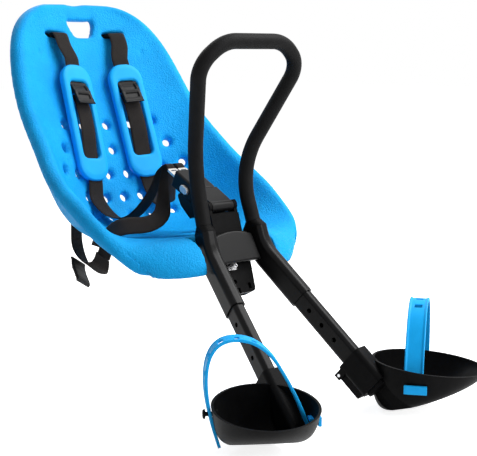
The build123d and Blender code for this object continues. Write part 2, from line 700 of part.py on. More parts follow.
def grip_collar(side):
    """Moulded collar from the round grip to the flat leg."""
    start = Plane(origin=Vector(*BAR_FOOT), x_dir=leg_across(), z_dir=bar_axis() * -1)
    low = start * RectangleRounded(*UPPER_LEG, LEG_ROUND)
    high = start * Pos(0, 0, GRIP_RISE - SEAT_GAP) * RectangleRounded(2 * GRIP_R, 2 * GRIP_R, GRIP_R - 0.2)
    collar = loft([low, high])
    return on_side(collar - start * Cylinder(BAR_R + 0.15, 100), side)


def upper_leg(side):
    """Flat oval sleeve from the collar round the knee to the seam."""
    knee = Vector(*KNEE)
    path = FilletPolyline(Vector(*BAR_FOOT) + bar_axis() * SEAT_GAP, knee, knee + leg_axis() * SEAM_ALONG, radius=KNEE_R)
    start = Plane(origin=path @ 0, x_dir=leg_across(), z_dir=path % 0)
    outer = RectangleRounded(*UPPER_LEG, LEG_ROUND)
    inner = RectangleRounded(LOWER_LEG[0] + 2 * LEG_GAP, LOWER_LEG[1] + 2 * LEG_GAP, LEG_ROUND - 1.5)
    leg = sweep(start * (outer - inner), path=path) - leg_bolt_room()
    return on_side(leg, side)


def leg_clearance():
    """Room for both upper legs, to cut out of the console."""
    knee = Vector(*KNEE)
    path = FilletPolyline(Vector(*BAR_FOOT) - bar_axis() * 20, knee, knee + leg_axis() * SEAM_ALONG, radius=KNEE_R)
    start = Plane(origin=path @ 0, x_dir=leg_across(), z_dir=path % 0)
    outline = RectangleRounded(UPPER_LEG[0] + 2 * SEAT_GAP, UPPER_LEG[1] + 2 * SEAT_GAP, LEG_ROUND)
    room = sweep(start * outline, path=path)
    return [room, mirror(room, about=Plane.YZ)]


def leg_bolt_plane():
    """Plane on the leg's middle where its bolt goes through, Z outward along the bolt."""
    rise, front = LEG_BOLT
    place = console_plane().from_local_coords(Vector(0, rise, front))
    outward = leg_across() * -1
    share = (KNEE[0] - (place.Y - KNEE[1]) * outward.Y - (place.Z - KNEE[2]) * outward.Z) / outward.X
    return Plane(origin=(share, place.Y, place.Z), z_dir=outward)


def leg_bolt_room():
    hole = leg_bolt_plane() * Pos(0, 0, -LEG_BOLT_LENGTH / 2 + UPPER_LEG[0]) * Cylinder(
        BOLT_R + 0.1, LEG_BOLT_LENGTH + UPPER_LEG[0])
    return [hole, mirror(hole, about=Plane.YZ)]


def leg_bolt(side):
    """Bolt from the outer side of the leg into the console."""
    top = UPPER_LEG[0] / 2 + SEAT_GAP
    shank = Pos(0, 0, top - LEG_BOLT_LENGTH / 2) * Cylinder(BOLT_R, LEG_BOLT_LENGTH)
    head = Pos(0, 0, top + 1.5) * Cylinder(BOLT_R + 2.5, 3)
    socket = Pos(0, 0, top + 2.5) * extrude(RegularPolygon(2.2, 6), 4)
    return on_side(leg_bolt_plane() * (shank + head - socket), side)


def lower_leg(side):
    outer = RectangleRounded(*LOWER_LEG, LEG_ROUND - 1.7)
    inner = RectangleRounded(LOWER_LEG[0] - 2 * LEG_WALL, LOWER_LEG[1] - 2 * LEG_WALL, LEG_ROUND - 3.7)
    top = SEAM_ALONG - LEG_SPIGOT
    leg = leg_plane(top) * extrude(outer - inner, LEG_LENGTH - top)
    holes = [SLEEVE_ALONG[0] - 30 - 25 * k for k in range(3)]
    for along in holes:
        leg -= leg_plane(along) * Rot(0, 90, 0) * Cylinder(LEG_HOLE_R, 4 * LOWER_LEG[0])
    return on_side(leg, side)


def leg_end_cap(side):
    flange = RectangleRounded(LOWER_LEG[0] + 3, LOWER_LEG[1] + 3, LEG_ROUND - 0.5)
    plug = RectangleRounded(LOWER_LEG[0] - 2 * LEG_WALL - 0.4, LOWER_LEG[1] - 2 * LEG_WALL - 0.4, LEG_ROUND - 4)
    cap = extrude(flange, CAP_THICK) + extrude(plug, -12)
    return on_side(leg_plane(LEG_LENGTH) * cap, side)


def toe_directions():
    """Unit vectors of the child's left footrest: to the toe and to the outer side."""
    turn = radians(TOE_OUT)
    return Vector(sin(turn), -cos(turn), 0), Vector(cos(turn), sin(turn), 0)


def cup_ring(depth, back, length, width, tilt, shrink, lift):
    """One oval of the cup: X to the toe, Y to the outer side, turned up at the toe."""
    toe, outer = toe_directions()
    origin = Vector(*CUP_MIDDLE) - toe * back - Vector(0, 0, depth - lift)
    rise = radians(tilt)
    forward = toe * cos(rise) + Vector(0, 0, sin(rise))
    plane = Plane(origin=origin, x_dir=forward, z_dir=forward.cross(outer * -1))
    return plane * Ellipse(length - shrink, width - shrink)


def sleeve_box(size, rounding, start, end):
    return leg_plane(start) * extrude(RectangleRounded(*size, rounding), end - start)


def strap_plane():
    """Plane of the foot strap's loop: X to the outer side, Y up, from the middle of the rim."""
    toe, outer = toe_directions()
    return Plane(origin=Vector(*CUP_MIDDLE) + toe * FOOT_STRAP_ALONG, x_dir=outer, z_dir=toe)


def footrest_cup(side):
    """Moulded scoop with a sleeve that slides on the leg."""
    bowl = loft([cup_ring(*ring, 0, 0) for ring in CUP_RINGS])
    top = (-12.0, *CUP_RINGS[0][1:])
    hollow = loft([cup_ring(*top, CUP_WALL, 0)] + [cup_ring(*ring, CUP_WALL, k) for ring, k in zip(
        CUP_RINGS, (0, CUP_WALL * 0.4, CUP_WALL * 0.8, CUP_WALL))])
    sleeve = sleeve_box(SLEEVE_SIZE, LEG_ROUND, *SLEEVE_ALONG)
    tunnel = sleeve_box(SLEEVE_SIZE, LEG_ROUND, SLEEVE_ALONG[1] - 1, SLEEVE_ALONG[1] + 70) & bowl
    cup = (bowl - hollow) + sleeve + tunnel
    for sign in (-1, 1):
        lug = Box(LUG[0], LUG[1], LUG[1] + LUG_ROOT)
        place = lever_plane() * Pos(sign * (LEVER_SIZE[0] / 2 + LUG_GAP + LUG[0] / 2), 0, -LUG_ROOT / 2)
        cup += place * lug
    bore = (LOWER_LEG[0] + 2 * RUN_GAP, LOWER_LEG[1] + 2 * RUN_GAP)
    cup -= sleeve_box(bore, LEG_ROUND - 1.5, SLEEVE_ALONG[0] - 60, SLEEVE_ALONG[1] + 1)
    wide = (LOWER_LEG[0] + 4, LOWER_LEG[1] + 4)
    cup -= sleeve_box(wide, LEG_ROUND, SLEEVE_ALONG[1], SLEEVE_ALONG[1] + 90)
    cup -= strap_plane() * Pos(-60, STRAP_TAB_DROP, 0) * Box(30, TAB_STEM[1] + 1, TAB_STEM[0] + 1)
    cup -= strap_plane() * Pos(56, STUD_DROP, 0) * Rot(0, 90, 0) * Cylinder(STUD_R + 0.1, 24)
    cup -= lever_plane() * Rot(0, 90, 0) * Cylinder(LEVER_PIN_R + 0.02, 60)
    return on_side(cup, side)


def lever_outward():
    """Unit vector across the leg to its lower rear side."""
    return unit(Vector(0, 0, -1) - leg_axis() * Vector(0, 0, -1).dot(leg_axis()))


def lever_plane():
    """Plane at the lever's pin: X across, Y up the leg and Z away from the sleeve."""
    outward = lever_outward()
    origin = Vector(*KNEE) + leg_axis() * LEVER_PIN_ALONG + outward * (SLEEVE_SIZE[1] / 2 + LEVER_PIN_OUT)
    return Plane(origin=origin, x_dir=(leg_axis() * -1).cross(outward), z_dir=outward)


def release_lever(side):
    """Thumb lever on the back of the sleeve."""
    width, length, thick = LEVER_SIZE
    bar = Pos(0, -length / 2 + thick / 2, 0) * Box(width, length, thick)
    bar = fillet(bar.edges().filter_by(Axis.X), 2.5)
    bar -= Rot(0, 90, 0) * Cylinder(LEVER_PIN_R + 0.08, 2 * width)
    return on_side(lever_plane() * bar, side)


def lever_pin(side):
    pin = Rot(0, 90, 0) * Cylinder(LEVER_PIN_R, LEVER_SIZE[0] + 2 * LUG_GAP + 2 * LUG[0])
    return on_side(lever_plane() * pin, side)


def lever_spring(side):
    place = Pos(LEVER_SIZE[0] / 2 + 0.3, 0, 0) * Rot(0, 90, 0)
    coil = plain_spring(LEVER_PIN_R + 1.6, 1.2, LUG_GAP - 0.6)
    return on_side(lever_plane() * place * coil, side)


def footrest_strap(side):
    """Rubber strap with a row of holes: tab through the inner wall, arch over the foot, stud outside."""
    width, thick = FOOT_STRAP
    path = FilletPolyline(*FOOT_STRAP_ROUTE, radius=FOOT_STRAP_RADII)
    start = Plane(origin=path @ 0, x_dir=(0, 0, 1), z_dir=path % 0)
    band = sweep(start * RectangleRounded(width, thick, thick * 0.3), path=path)
    for share in FOOT_STRAP_HOLES:
        place = Plane(origin=path @ share, x_dir=(0, 0, 1), z_dir=Vector(0, 0, 1).cross(path % share))
        band -= place * extrude(SlotOverall(10.0, 2 * STUD_R + 0.8), 2 * thick, both=True)
    band -= Pos(60, STUD_DROP, 0) * Rot(0, 90, 0) * Cylinder(STUD_R + RUN_GAP, 40)
    stem = Pos(-54, STRAP_TAB_DROP, 0) * Box(12, TAB_STEM[1], TAB_STEM[0])
    tab = Pos(-60.6, STRAP_TAB_DROP, 0) * Box(4, 11, 28)
    tab = fillet(tab.edges().filter_by(Axis.X), 4.0)
    return on_side(strap_plane() * (band + stem + tab), side)


def strap_stud(side):
    """Mushroom stud through the outer wall."""
    shaft = Pos(0, 0, (STUD_HEAD + 53.2) / 2) * Cylinder(STUD_R, STUD_HEAD - 53.2)
    head = Pos(0, 0, STUD_HEAD) * Cylinder(STUD_R + 3, 3)
    head = fillet(head.edges().sort_by(Axis.Z)[-1:], 2.0)
    back = Pos(0, 0, 53.2) * Cylinder(STUD_R + 2, 2)
    return on_side(strap_plane() * Pos(0, STUD_DROP, 0) * Rot(0, 90, 0) * (shaft + head + back), side)


def seat_bolts():
    """Bolts that hold the shell down on the console's tongue."""
    bolts = []
    for x, y in SEAT_BOLTS:
        shank = Pos(0, 0, BOLT_LENGTH / 2) * Cylinder(BOLT_R, BOLT_LENGTH)
        head = Pos(0, 0, -2) * Cylinder(BOLT_R + 2.5, 4)
        bolts.append(Pos(x, y, BASE_FLOOR) * (shank + head))
    return Compound(bolts)


def cover_screws():
    screws = []
    for sign in (-1, 1):
        head = Pos(0, 0, COVER_THICK - 3) * Cylinder(SCREW_R, 2)
        screws.append(console_plane() * Pos(sign * SCREW_X, SCREW_RISE, COVER_BACK) * head)
    return Compound(screws)


def main():
    os.makedirs("parts", exist_ok=True)
    shell = seat_shell()
    nodes = {
        "seat_shell": shell,
        "console_body": console_body(shell),
        "console_cover": console_cover(),
        "crotch_anchor": crotch_anchor(),
        "anchor_pin": anchor_pin(),
        "crotch_post": crotch_post(),
        "buckle_body": buckle_body(),
        "grab_bar_tube": grab_bar_tube(),
        "grab_bar_grip": grab_bar_grip(),
        "latch_bolt": latch_bolt(),
        "latch_spring": latch_spring(),
        "seat_bolts": seat_bolts(),
    }
    paired = [
        shoulder_strap, shoulder_pad, strap_adjuster, strap_retainer, harness_strap, lap_strap, lap_adjuster,
        buckle_tongue, buckle_button, button_spring, grip_collar, upper_leg, leg_bolt, lower_leg, leg_end_cap,
        footrest_cup, footrest_strap, strap_stud, release_lever, lever_pin, lever_spring,
    ]
    for make in paired:
        for name, side in (("left", 1), ("right", -1)):
            nodes[f"{make.__name__}_{name}"] = make(side)
    for name, shape in nodes.items():
        export_step(shape, f"parts/{name}.step")
        print(name, round(shape.volume), len(shape.solids()))


if __name__ == "__main__":
    main()
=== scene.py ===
# %% [markdown]
# Front child seat for a bicycle. The hard parts come from the CAD model, which is loaded as a fixed
# frame. This script gives every surface its finish, and models the soft parts again: the foam
# bucket, the shoulder pads, the woven webbing and the rubber foot straps. It also redraws the
# sliders on the webbing and one small spring. All of it could be modelled in Blender, but the frame
# keeps the parts that move true to size.

# %% Load the frame
import math

import bmesh
import bpy
import numpy as np
from mathutils import Matrix, Vector


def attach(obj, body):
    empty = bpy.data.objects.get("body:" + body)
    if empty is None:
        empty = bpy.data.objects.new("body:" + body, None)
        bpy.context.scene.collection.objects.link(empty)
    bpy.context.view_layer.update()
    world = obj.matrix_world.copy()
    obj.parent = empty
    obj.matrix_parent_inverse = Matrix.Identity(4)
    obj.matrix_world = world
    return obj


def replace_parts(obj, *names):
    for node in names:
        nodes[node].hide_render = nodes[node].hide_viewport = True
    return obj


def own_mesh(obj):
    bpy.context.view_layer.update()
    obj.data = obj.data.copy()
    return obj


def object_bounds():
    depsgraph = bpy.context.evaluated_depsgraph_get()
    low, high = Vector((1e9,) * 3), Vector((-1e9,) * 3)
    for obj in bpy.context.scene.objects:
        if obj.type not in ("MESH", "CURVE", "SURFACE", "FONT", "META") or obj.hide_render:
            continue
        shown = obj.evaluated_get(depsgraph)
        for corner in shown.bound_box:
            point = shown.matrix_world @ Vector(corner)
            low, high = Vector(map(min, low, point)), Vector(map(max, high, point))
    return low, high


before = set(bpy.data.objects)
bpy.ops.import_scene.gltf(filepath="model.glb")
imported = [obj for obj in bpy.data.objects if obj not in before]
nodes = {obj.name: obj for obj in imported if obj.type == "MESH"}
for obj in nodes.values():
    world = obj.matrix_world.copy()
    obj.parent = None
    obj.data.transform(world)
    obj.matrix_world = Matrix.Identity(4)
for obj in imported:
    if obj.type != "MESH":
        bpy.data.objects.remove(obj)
cad_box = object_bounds()
SIDES = ("left", "right")
print("frame:", len(nodes), "solids, box", [round(c, 3) for corner in cad_box for c in corner])

# %% [markdown]
# The camera has the viewing angle of the photo: a little above the seat and to its right front,
# with a long lens, so lines that run away from it hardly converge. It looks level from side to
# side, so it needs no roll. Its place and lens were fitted to the photo.

# %% Camera
CAMERA_PLACE = Vector((-1.0197, -1.1324, 0.3105))
CAMERA_AIM = Vector((0.0, 0.0, 0.088))
CAMERA_LENS = 90.44
CAMERA_SENSOR = 36.0

camera_data = bpy.data.cameras.new("photo_camera")
camera_data.sensor_width = CAMERA_SENSOR
camera_data.sensor_fit = "HORIZONTAL"
camera_data.lens = CAMERA_LENS
camera = bpy.data.objects.new("photo_camera", camera_data)
camera.location = CAMERA_PLACE
camera.rotation_euler = (CAMERA_AIM - CAMERA_PLACE).to_track_quat("-Z", "Y").to_euler()
scene = bpy.context.scene
scene.collection.objects.link(camera)
scene.camera = camera
scene.view_settings.view_transform = "Standard"
print("camera:", round((CAMERA_AIM - CAMERA_PLACE).length, 2), "m from the seat")

# %% [markdown]
# A catalogue photo has light from everywhere, but most of it from above and the front: the rims
# that face up are bright, and the walls that face sideways are much darker. One large lamp does
# most of that, and two weaker ones open the front and the back. Point lamps could do it too, but
# the edge of a shadow is softer from a large source, as in a studio.

# %% Lamps
# each lamp: its place, its size and its power
LAMPS = {
    "key_light": ((1.2, -0.6, 1.9), 1.5, 57.0),
    "front_light": ((0.7, -2.1, 0.9), 1.2, 28.0),
    "back_light": ((0.3, 1.5, 1.4), 1.0, 12.0),
}
for lamp_name, (place, size, power) in LAMPS.items():
    lamp_data = bpy.data.lights.new(lamp_name, "AREA")
    lamp_data.size = size
    lamp_data.energy = power
    lamp = bpy.data.objects.new(lamp_name, lamp_data)
    lamp.location = place
    lamp.rotation_euler = (CAMERA_AIM - Vector(place)).to_track_quat("-Z", "Y").to_euler()
    scene.collection.objects.link(lamp)
print("lamps:", len(LAMPS))

# %% [markdown]
# The background is plain white. More light could make it so, but would wash out the blue. Instead
# the world and the floor are white only to the camera and to reflections. To the object itself the
# world gives a weaker, even fill.

# %% World
WORLD_FILL = 0.27
WHITE = (1.0, 1.0, 1.0, 1.0)


def seen_strength(tree, low, high):
    """A strength that is low for the light itself, and high where the camera or a reflection looks."""
    light_path = tree.nodes.new("ShaderNodeLightPath")
    seen = tree.nodes.new("ShaderNodeMath")
    seen.operation = "MAXIMUM"
    strength = tree.nodes.new("ShaderNodeMapRange")
    strength.inputs["To Min"].default_value = low
    strength.inputs["To Max"].default_value = high
    tree.links.new(light_path.outputs["Is Camera Ray"], seen.inputs[0])
    tree.links.new(light_path.outputs["Is Glossy Ray"], seen.inputs[1])
    tree.links.new(seen.outputs[0], strength.inputs["Value"])
    return strength.outputs["Result"]


world = bpy.data.worlds.new("pale_room")
scene.world = world
world.use_nodes = True
room = world.node_tree
background = room.nodes["Background"]
background.inputs["Color"].default_value = WHITE
room.links.new(seen_strength(room, WORLD_FILL, 1.0), background.inputs["Strength"])
print("world fill:", WORLD_FILL)

# %% [markdown]
# The floor is one large square just under the seat. Its own glow is a little short of white, and
# the lamps add the rest. Below the seat that light is blocked, so a shadow still shows.

# %% Floor
FLOOR_WHITE = 0.82
FLOOR_GREY = (0.84, 0.84, 0.84, 1.0)
FLOOR_ROUGHNESS = 0.9
FLOOR_REACH = 12.0
FLOOR_GAP = 0.001

floor_mesh = bpy.data.meshes.new("floor")
level = cad_box[0].z - FLOOR_GAP
floor_corners = [
    (side_x * FLOOR_REACH, side_y * FLOOR_REACH, level)
    for side_x, side_y in ((-1, -1), (1, -1), (1, 1), (-1, 1))
]
floor_mesh.from_pydata(floor_corners, [], [(0, 1, 2, 3)])
floor = bpy.data.objects.new("floor", floor_mesh)
scene.collection.objects.link(floor)
floor_paint = bpy.data.materials.new("pale_floor")
floor_paint.use_nodes = True
floor_shader = floor_paint.node_tree.nodes["Principled BSDF"]
floor_shader.inputs["Base Color"].default_value = FLOOR_GREY
floor_shader.inputs["Roughness"].default_value = FLOOR_ROUGHNESS
floor_shader.inputs["Specular IOR Level"].default_value = 0.0
floor_shader.inputs["Emission Color"].default_value = WHITE
floor_tree = floor_paint.node_tree
floor_glow = seen_strength(floor_tree, 0.0, FLOOR_WHITE)
floor_tree.links.new(floor_glow, floor_shader.inputs["Emission Strength"])
floor_mesh.materials.append(floor_paint)
print("floor at", round(level, 3), "m")

# %% [markdown]
# Most finishes are one small recipe: a base colour or a gloss that wanders a little from place to
# place, and a fine bump whose grain has the size of the real one. Painted images could do this, but
# noise needs no UV map. The patterns use the object's own coordinates, in metres, so a grain of one
# millimetre is a noise scale of about a thousand.

# %% Finish recipe
DRIFT_FROM = 0.35
DRIFT_TO = 0.65


def new_finish(name, colour, roughness, specular):
    """A material with one plain shader, ready for its patterns."""
    material = bpy.data.materials.new(name)
    material.use_nodes = True
    shader = material.node_tree.nodes["Principled BSDF"]
    shader.inputs["Base Color"].default_value = (*colour, 1.0)
    shader.inputs["Roughness"].default_value = roughness
    shader.inputs["Specular IOR Level"].default_value = specular
    return material


def add_node(material, kind, **values):
    """A node with its sockets set by name; a name with underscores stands for a name with spaces."""
    node = material.node_tree.nodes.new(kind)
    for key, value in values.items():
        node.inputs[key.replace("_", " ")].default_value = value
    return node


def join(material, source, output, target, socket):
    material.node_tree.links.new(source.outputs[output], target.inputs[socket])


def shader_of(material):
    return material.node_tree.nodes["Principled BSDF"]


def object_place(material):
    return add_node(material, "ShaderNodeTexCoord")


def wander_colour(material, low, high, scale):
    """Lets the base colour drift between two close colours."""
    noise = add_node(material, "ShaderNodeTexNoise", Scale=scale, Detail=4.0, Roughness=0.6)
    ramp = material.node_tree.nodes.new("ShaderNodeValToRGB")
    ramp.color_ramp.elements[0].position = DRIFT_FROM
    ramp.color_ramp.elements[1].position = DRIFT_TO
    ramp.color_ramp.elements[0].color = (*low, 1.0)
    ramp.color_ramp.elements[1].color = (*high, 1.0)
    join(material, object_place(material), "Object", noise, "Vector")
    join(material, noise, "Fac", ramp, "Fac")
    join(material, ramp, "Color", shader_of(material), "Base Color")


def grain_bump(material, scale, strength, distance):
    """Fine grain from a noise, as a bump on the shader's normal."""
    noise = add_node(material, "ShaderNodeTexNoise", Scale=scale, Detail=3.0, Roughness=0.55)
    bump = add_node(material, "ShaderNodeBump", Strength=strength, Distance=distance)
    join(material, object_place(material), "Object", noise, "Vector")
    join(material, noise, "Fac", bump, "Height")
    join(material, bump, "Normal", shader_of(material), "Normal")


def wander_gloss(material, low, high, scale):
    """Lets the roughness drift, as handling and moulding leave it."""
    noise = add_node(material, "ShaderNodeTexNoise", Scale=scale, Detail=5.0)
    spread = add_node(material, "ShaderNodeMapRange", To_Min=low, To_Max=high)
    join(material, object_place(material), "Object", noise, "Vector")
    join(material, noise, "Fac", spread, "Value")
    join(material, spread, "Result", shader_of(material), "Roughness")


print("finish recipe ready")

# %% [markdown]
# The bucket is moulded from closed-cell foam. Its skin is matte and pebbled: soft dents about two
# millimetres wide, on a bright cyan blue that is hardly ever even. The pads and foot straps have
# the same blue with a smoother skin, so they take the same recipe with a finer, weaker grain.

# %% Blue finishes
FOAM_BLUE = (0.006, 0.40, 0.89)
FOAM_DEEP = (0.004, 0.35, 0.81)
PAD_BLUE = (0.008, 0.42, 0.92)
PAD_DEEP = (0.006, 0.39, 0.88)

foam_skin = new_finish("foam_skin", FOAM_BLUE, 0.6, 0.12)
wander_colour(foam_skin, FOAM_DEEP, FOAM_BLUE, 24.0)
grain_bump(foam_skin, 480.0, 0.85, 0.0018)
wander_gloss(foam_skin, 0.5, 0.68, 300.0)

pad_skin = new_finish("pad_skin", PAD_BLUE, 0.5, 0.15)
wander_colour(pad_skin, PAD_DEEP, PAD_BLUE, 30.0)
grain_bump(pad_skin, 1300.0, 0.15, 0.0004)

strap_rubber = new_finish("strap_rubber", PAD_BLUE, 0.45, 0.15)
wander_colour(strap_rubber, PAD_DEEP, PAD_BLUE, 60.0)
grain_bump(strap_rubber, 1800.0, 0.12, 0.0003)
print("blue finishes: 3")

# %% [markdown]
# Black is never plain black. Moulded plastic has a fine grain from its mould and a grey sheen, the
# powder coat on the legs has a faint orange peel, and the foam of the grab bar is a dull, slightly
# open rubber. Springs and most bolts are bright steel. The tongues and buttons of the buckle are a
# duller grey.

# %% Black and metal finishes
grained_plastic = new_finish("grained_plastic", (0.003, 0.003, 0.0032), 0.5, 0.05)
wander_colour(grained_plastic, (0.0022, 0.0022, 0.0024), (0.0038, 0.0038, 0.004), 90.0)
grain_bump(grained_plastic, 1500.0, 0.3, 0.0004)

satin_plastic = new_finish("satin_plastic", (0.005, 0.005, 0.0053), 0.36, 0.14)
wander_gloss(satin_plastic, 0.3, 0.42, 140.0)
grain_bump(satin_plastic, 2200.0, 0.08, 0.0002)

buckle_plastic = new_finish("buckle_plastic", (0.004, 0.004, 0.0043), 0.4, 0.14)
wander_gloss(buckle_plastic, 0.34, 0.48, 160.0)
grain_bump(buckle_plastic, 1900.0, 0.15, 0.0003)

powder_coat = new_finish("powder_coat", (0.003, 0.003, 0.0032), 0.32, 0.11)
wander_colour(powder_coat, (0.0025, 0.0025, 0.0027), (0.004, 0.004, 0.0043), 120.0)
grain_bump(powder_coat, 900.0, 0.12, 0.0003)

grip_rubber = new_finish("grip_rubber", (0.004, 0.004, 0.0043), 0.62, 0.1)
wander_colour(grip_rubber, (0.003, 0.003, 0.0032), (0.005, 0.005, 0.0053), 70.0)
grain_bump(grip_rubber, 1100.0, 0.25, 0.0004)

bright_steel = new_finish("bright_steel", (0.62, 0.62, 0.63), 0.28, 0.5)
shader_of(bright_steel).inputs["Metallic"].default_value = 1.0
wander_gloss(bright_steel, 0.2, 0.36, 220.0)
grain_bump(bright_steel, 2600.0, 0.05, 0.0002)

dull_steel = new_finish("dull_steel", (0.58, 0.57, 0.55), 0.45, 0.4)
shader_of(dull_steel).inputs["Metallic"].default_value = 0.55
wander_gloss(dull_steel, 0.4, 0.52, 260.0)
grain_bump(dull_steel, 2200.0, 0.06, 0.0002)
print("black and metal finishes: 7")

# %% [markdown]
# Webbing is a flat weave, with yarns along the band and across it. The strips get a UV map in
# metres, one direction along the band and one across it. Two sets of fine waves on that map,
# multiplied, draw the yarns wherever the band turns. Object coordinates would need no map, but
# would not follow the turns.

# %% Webbing finish
YARN_ALONG = 0.0017
YARN_ACROSS = 0.0021
YARN_DARK = (0.006, 0.005, 0.0045, 1.0)
YARN_LIGHT = (0.034, 0.029, 0.027, 1.0)

webbing = new_finish("webbing", (0.01, 0.0085, 0.008), 0.75, 0.08)
shader_of(webbing).inputs["Sheen Weight"].default_value = 0.04
shader_of(webbing).inputs["Sheen Roughness"].default_value = 0.5
band_map = add_node(webbing, "ShaderNodeUVMap")
band_map.uv_map = "band"
split = add_node(webbing, "ShaderNodeSeparateXYZ")
join(webbing, band_map, "UV", split, "Vector")
yarns = []
for axis_name, pitch in (("X", YARN_ACROSS), ("Y", YARN_ALONG)):
    turns = webbing.node_tree.nodes.new("ShaderNodeMath")
    turns.operation = "MULTIPLY"
    turns.inputs[1].default_value = 2 * math.pi / pitch
    wave = webbing.node_tree.nodes.new("ShaderNodeMath")
    wave.operation = "SINE"
    join(webbing, split, axis_name, turns, 0)
    join(webbing, turns, 0, wave, 0)
    yarns.append(wave)
weave = webbing.node_tree.nodes.new("ShaderNodeMath")
weave.operation = "MULTIPLY"
join(webbing, yarns[0], 0, weave, 0)
join(webbing, yarns[1], 0, weave, 1)
weave_bump = add_node(webbing, "ShaderNodeBump", Strength=0.6, Distance=0.0005)
join(webbing, weave, 0, weave_bump, "Height")
join(webbing, weave_bump, "Normal", shader_of(webbing), "Normal")
weave_tone = webbing.node_tree.nodes.new("ShaderNodeValToRGB")
weave_tone.color_ramp.elements[0].color = YARN_DARK
weave_tone.color_ramp.elements[1].color = YARN_LIGHT
weave_level = add_node(webbing, "ShaderNodeMapRange", From_Min=-1.0, From_Max=1.0)
join(webbing, weave, 0, weave_level, "Value")
join(webbing, weave_level, "Result", weave_tone, "Fac")
join(webbing, weave_tone, "Color", shader_of(webbing), "Base Color")
print("webbing finish ready")

# %% [markdown]
# Every soft part ends as a mesh with a finish, on the body that it moves with. Keeping a built
# shape, applying modifiers and placing a piece come back for each of them, so they are small
# functions. Blender's operators could do the same, but depend on what is selected.

# %% Pieces and meshes
def add_piece(name, mesh, material, body):
    """A visible piece with its finish, on the body it moves with."""
    piece = bpy.data.objects.new(name, mesh)
    scene.collection.objects.link(piece)
    mesh.materials.clear()
    mesh.materials.append(material)
    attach(piece, body)
    return piece


def new_mesh(name, shape):
    """A mesh of the shape that was built; the shape is freed."""
    mesh = bpy.data.meshes.new(name)
    shape.to_mesh(mesh)
    shape.free()
    return mesh


def shown_mesh(holder):
    """The mesh of an object with its modifiers or curve applied; the object is removed."""
    graph = bpy.context.evaluated_depsgraph_get()
    mesh = bpy.data.meshes.new_from_object(holder.evaluated_get(graph))
    bpy.data.objects.remove(holder)
    return mesh


print("piece helpers ready")

# %% [markdown]
# A solid from CAD has crisp edges. Moulded foam has none: every hole and rim is rounded by the
# tool. A Bevel modifier could round them, but it struggles where many edges meet. Here a voxel
# remesh turns the solid into even small faces, and a few rounds of smoothing then melt the edges,
# the narrow ones first.

# %% Softened copies
WELD = 0.00001
MELT_FACTOR = 0.5


def even_mesh(mesh, voxel, rounds):
    """The mesh with even small faces all over and its edges melted."""
    holder = bpy.data.objects.new("softening", mesh)
    scene.collection.objects.link(holder)
    remesh = holder.modifiers.new("even_faces", "REMESH")
    remesh.mode = "VOXEL"
    remesh.voxel_size = voxel
    melt = holder.modifiers.new("melt_edges", "SMOOTH")
    melt.factor = MELT_FACTOR
    melt.iterations = rounds
    result = shown_mesh(holder)
    for polygon in result.polygons:
        polygon.use_smooth = True
    return result


def softened_mesh(node, voxel, rounds):
    """A solid's mesh, remeshed evenly and with its edges melted."""
    shape = bmesh.new()
    shape.from_mesh(nodes[node].data)
    bmesh.ops.remove_doubles(shape, verts=shape.verts, dist=WELD)
    return even_mesh(new_mesh(node, shape), voxel, rounds)


print("softening ready")

# %% [markdown]
# The moulded bucket is fuller in its lower corners than the plain solid, and its rim is drawn in
# and carried back a little. Each row is a station of the solid from the front lip to the top of the
# back, with the moves of its rim and of its middle. A point of the foam takes the moves of its
# nearest station, the rim's in full only out at the rim. Sculpting by hand could do it, but rows
# can be read and changed one at a time.

# %% Bucket stations
# columns of a row: where its middle and rim lie, its half width, then how far each is moved
MIDDLE_Y, MIDDLE_Z, RIM_Y, RIM_Z, HALF_WIDTH = range(5)
DRAWN_IN, RIM_BACK, RIM_UP, MIDDLE_BACK, MIDDLE_UP, CORNER_SAG = range(5, 11)
RIM_ROWS = np.array([
    (-0.004, 0.040, 0.044, 0.042, 0.126, 0.010, 0.000, -0.004, -0.005, -0.004, 0.004),
    (0.020, 0.071, 0.054, 0.070, 0.158, 0.008, 0.008, -0.002, -0.002, -0.001, 0.010),
    (0.100, 0.062, 0.096, 0.102, 0.169, 0.008, 0.010, 0.000, 0.000, 0.000, 0.007),
    (0.212, 0.069, 0.158, 0.137, 0.170, 0.008, 0.006, 0.001, 0.000, 0.000, 0.004),
    (0.266, 0.150, 0.215, 0.182, 0.157, 0.006, 0.005, 0.001, 0.000, 0.000, 0.000),
    (0.322, 0.280, 0.302, 0.290, 0.132, 0.002, 0.005, 0.001, 0.000, 0.000, 0.000),
    (0.346, 0.338, 0.331, 0.342, 0.105, 0.000, 0.005, 0.002, 0.000, 0.000, 0.000),
    (0.361, 0.378, 0.353, 0.377, 0.050, 0.000, 0.004, 0.003, 0.002, 0.003, 0.000),
])
print("stations of the bucket:", len(RIM_ROWS))

# %% [markdown]
# The moves are blended from station to station, so the foam stays smooth. The carry-handle hole
# sits a little lower in the real moulding, so a soft round patch about it is shifted as well.
# Moving points keeps every vent and slot of the solid, which modelling the bucket anew would not.

# %% Foam bucket
FOAM_VOXEL = 0.0026
FOAM_ROUNDS = 9
STATION_STEPS = 8
RIM_POWER = 3
HANDLE_MIDDLE = np.array((0.0, 0.350, 0.353))
HANDLE_MOVE = np.array((0.0, -0.003, -0.009))
HANDLE_REACH = (0.020, 0.036)


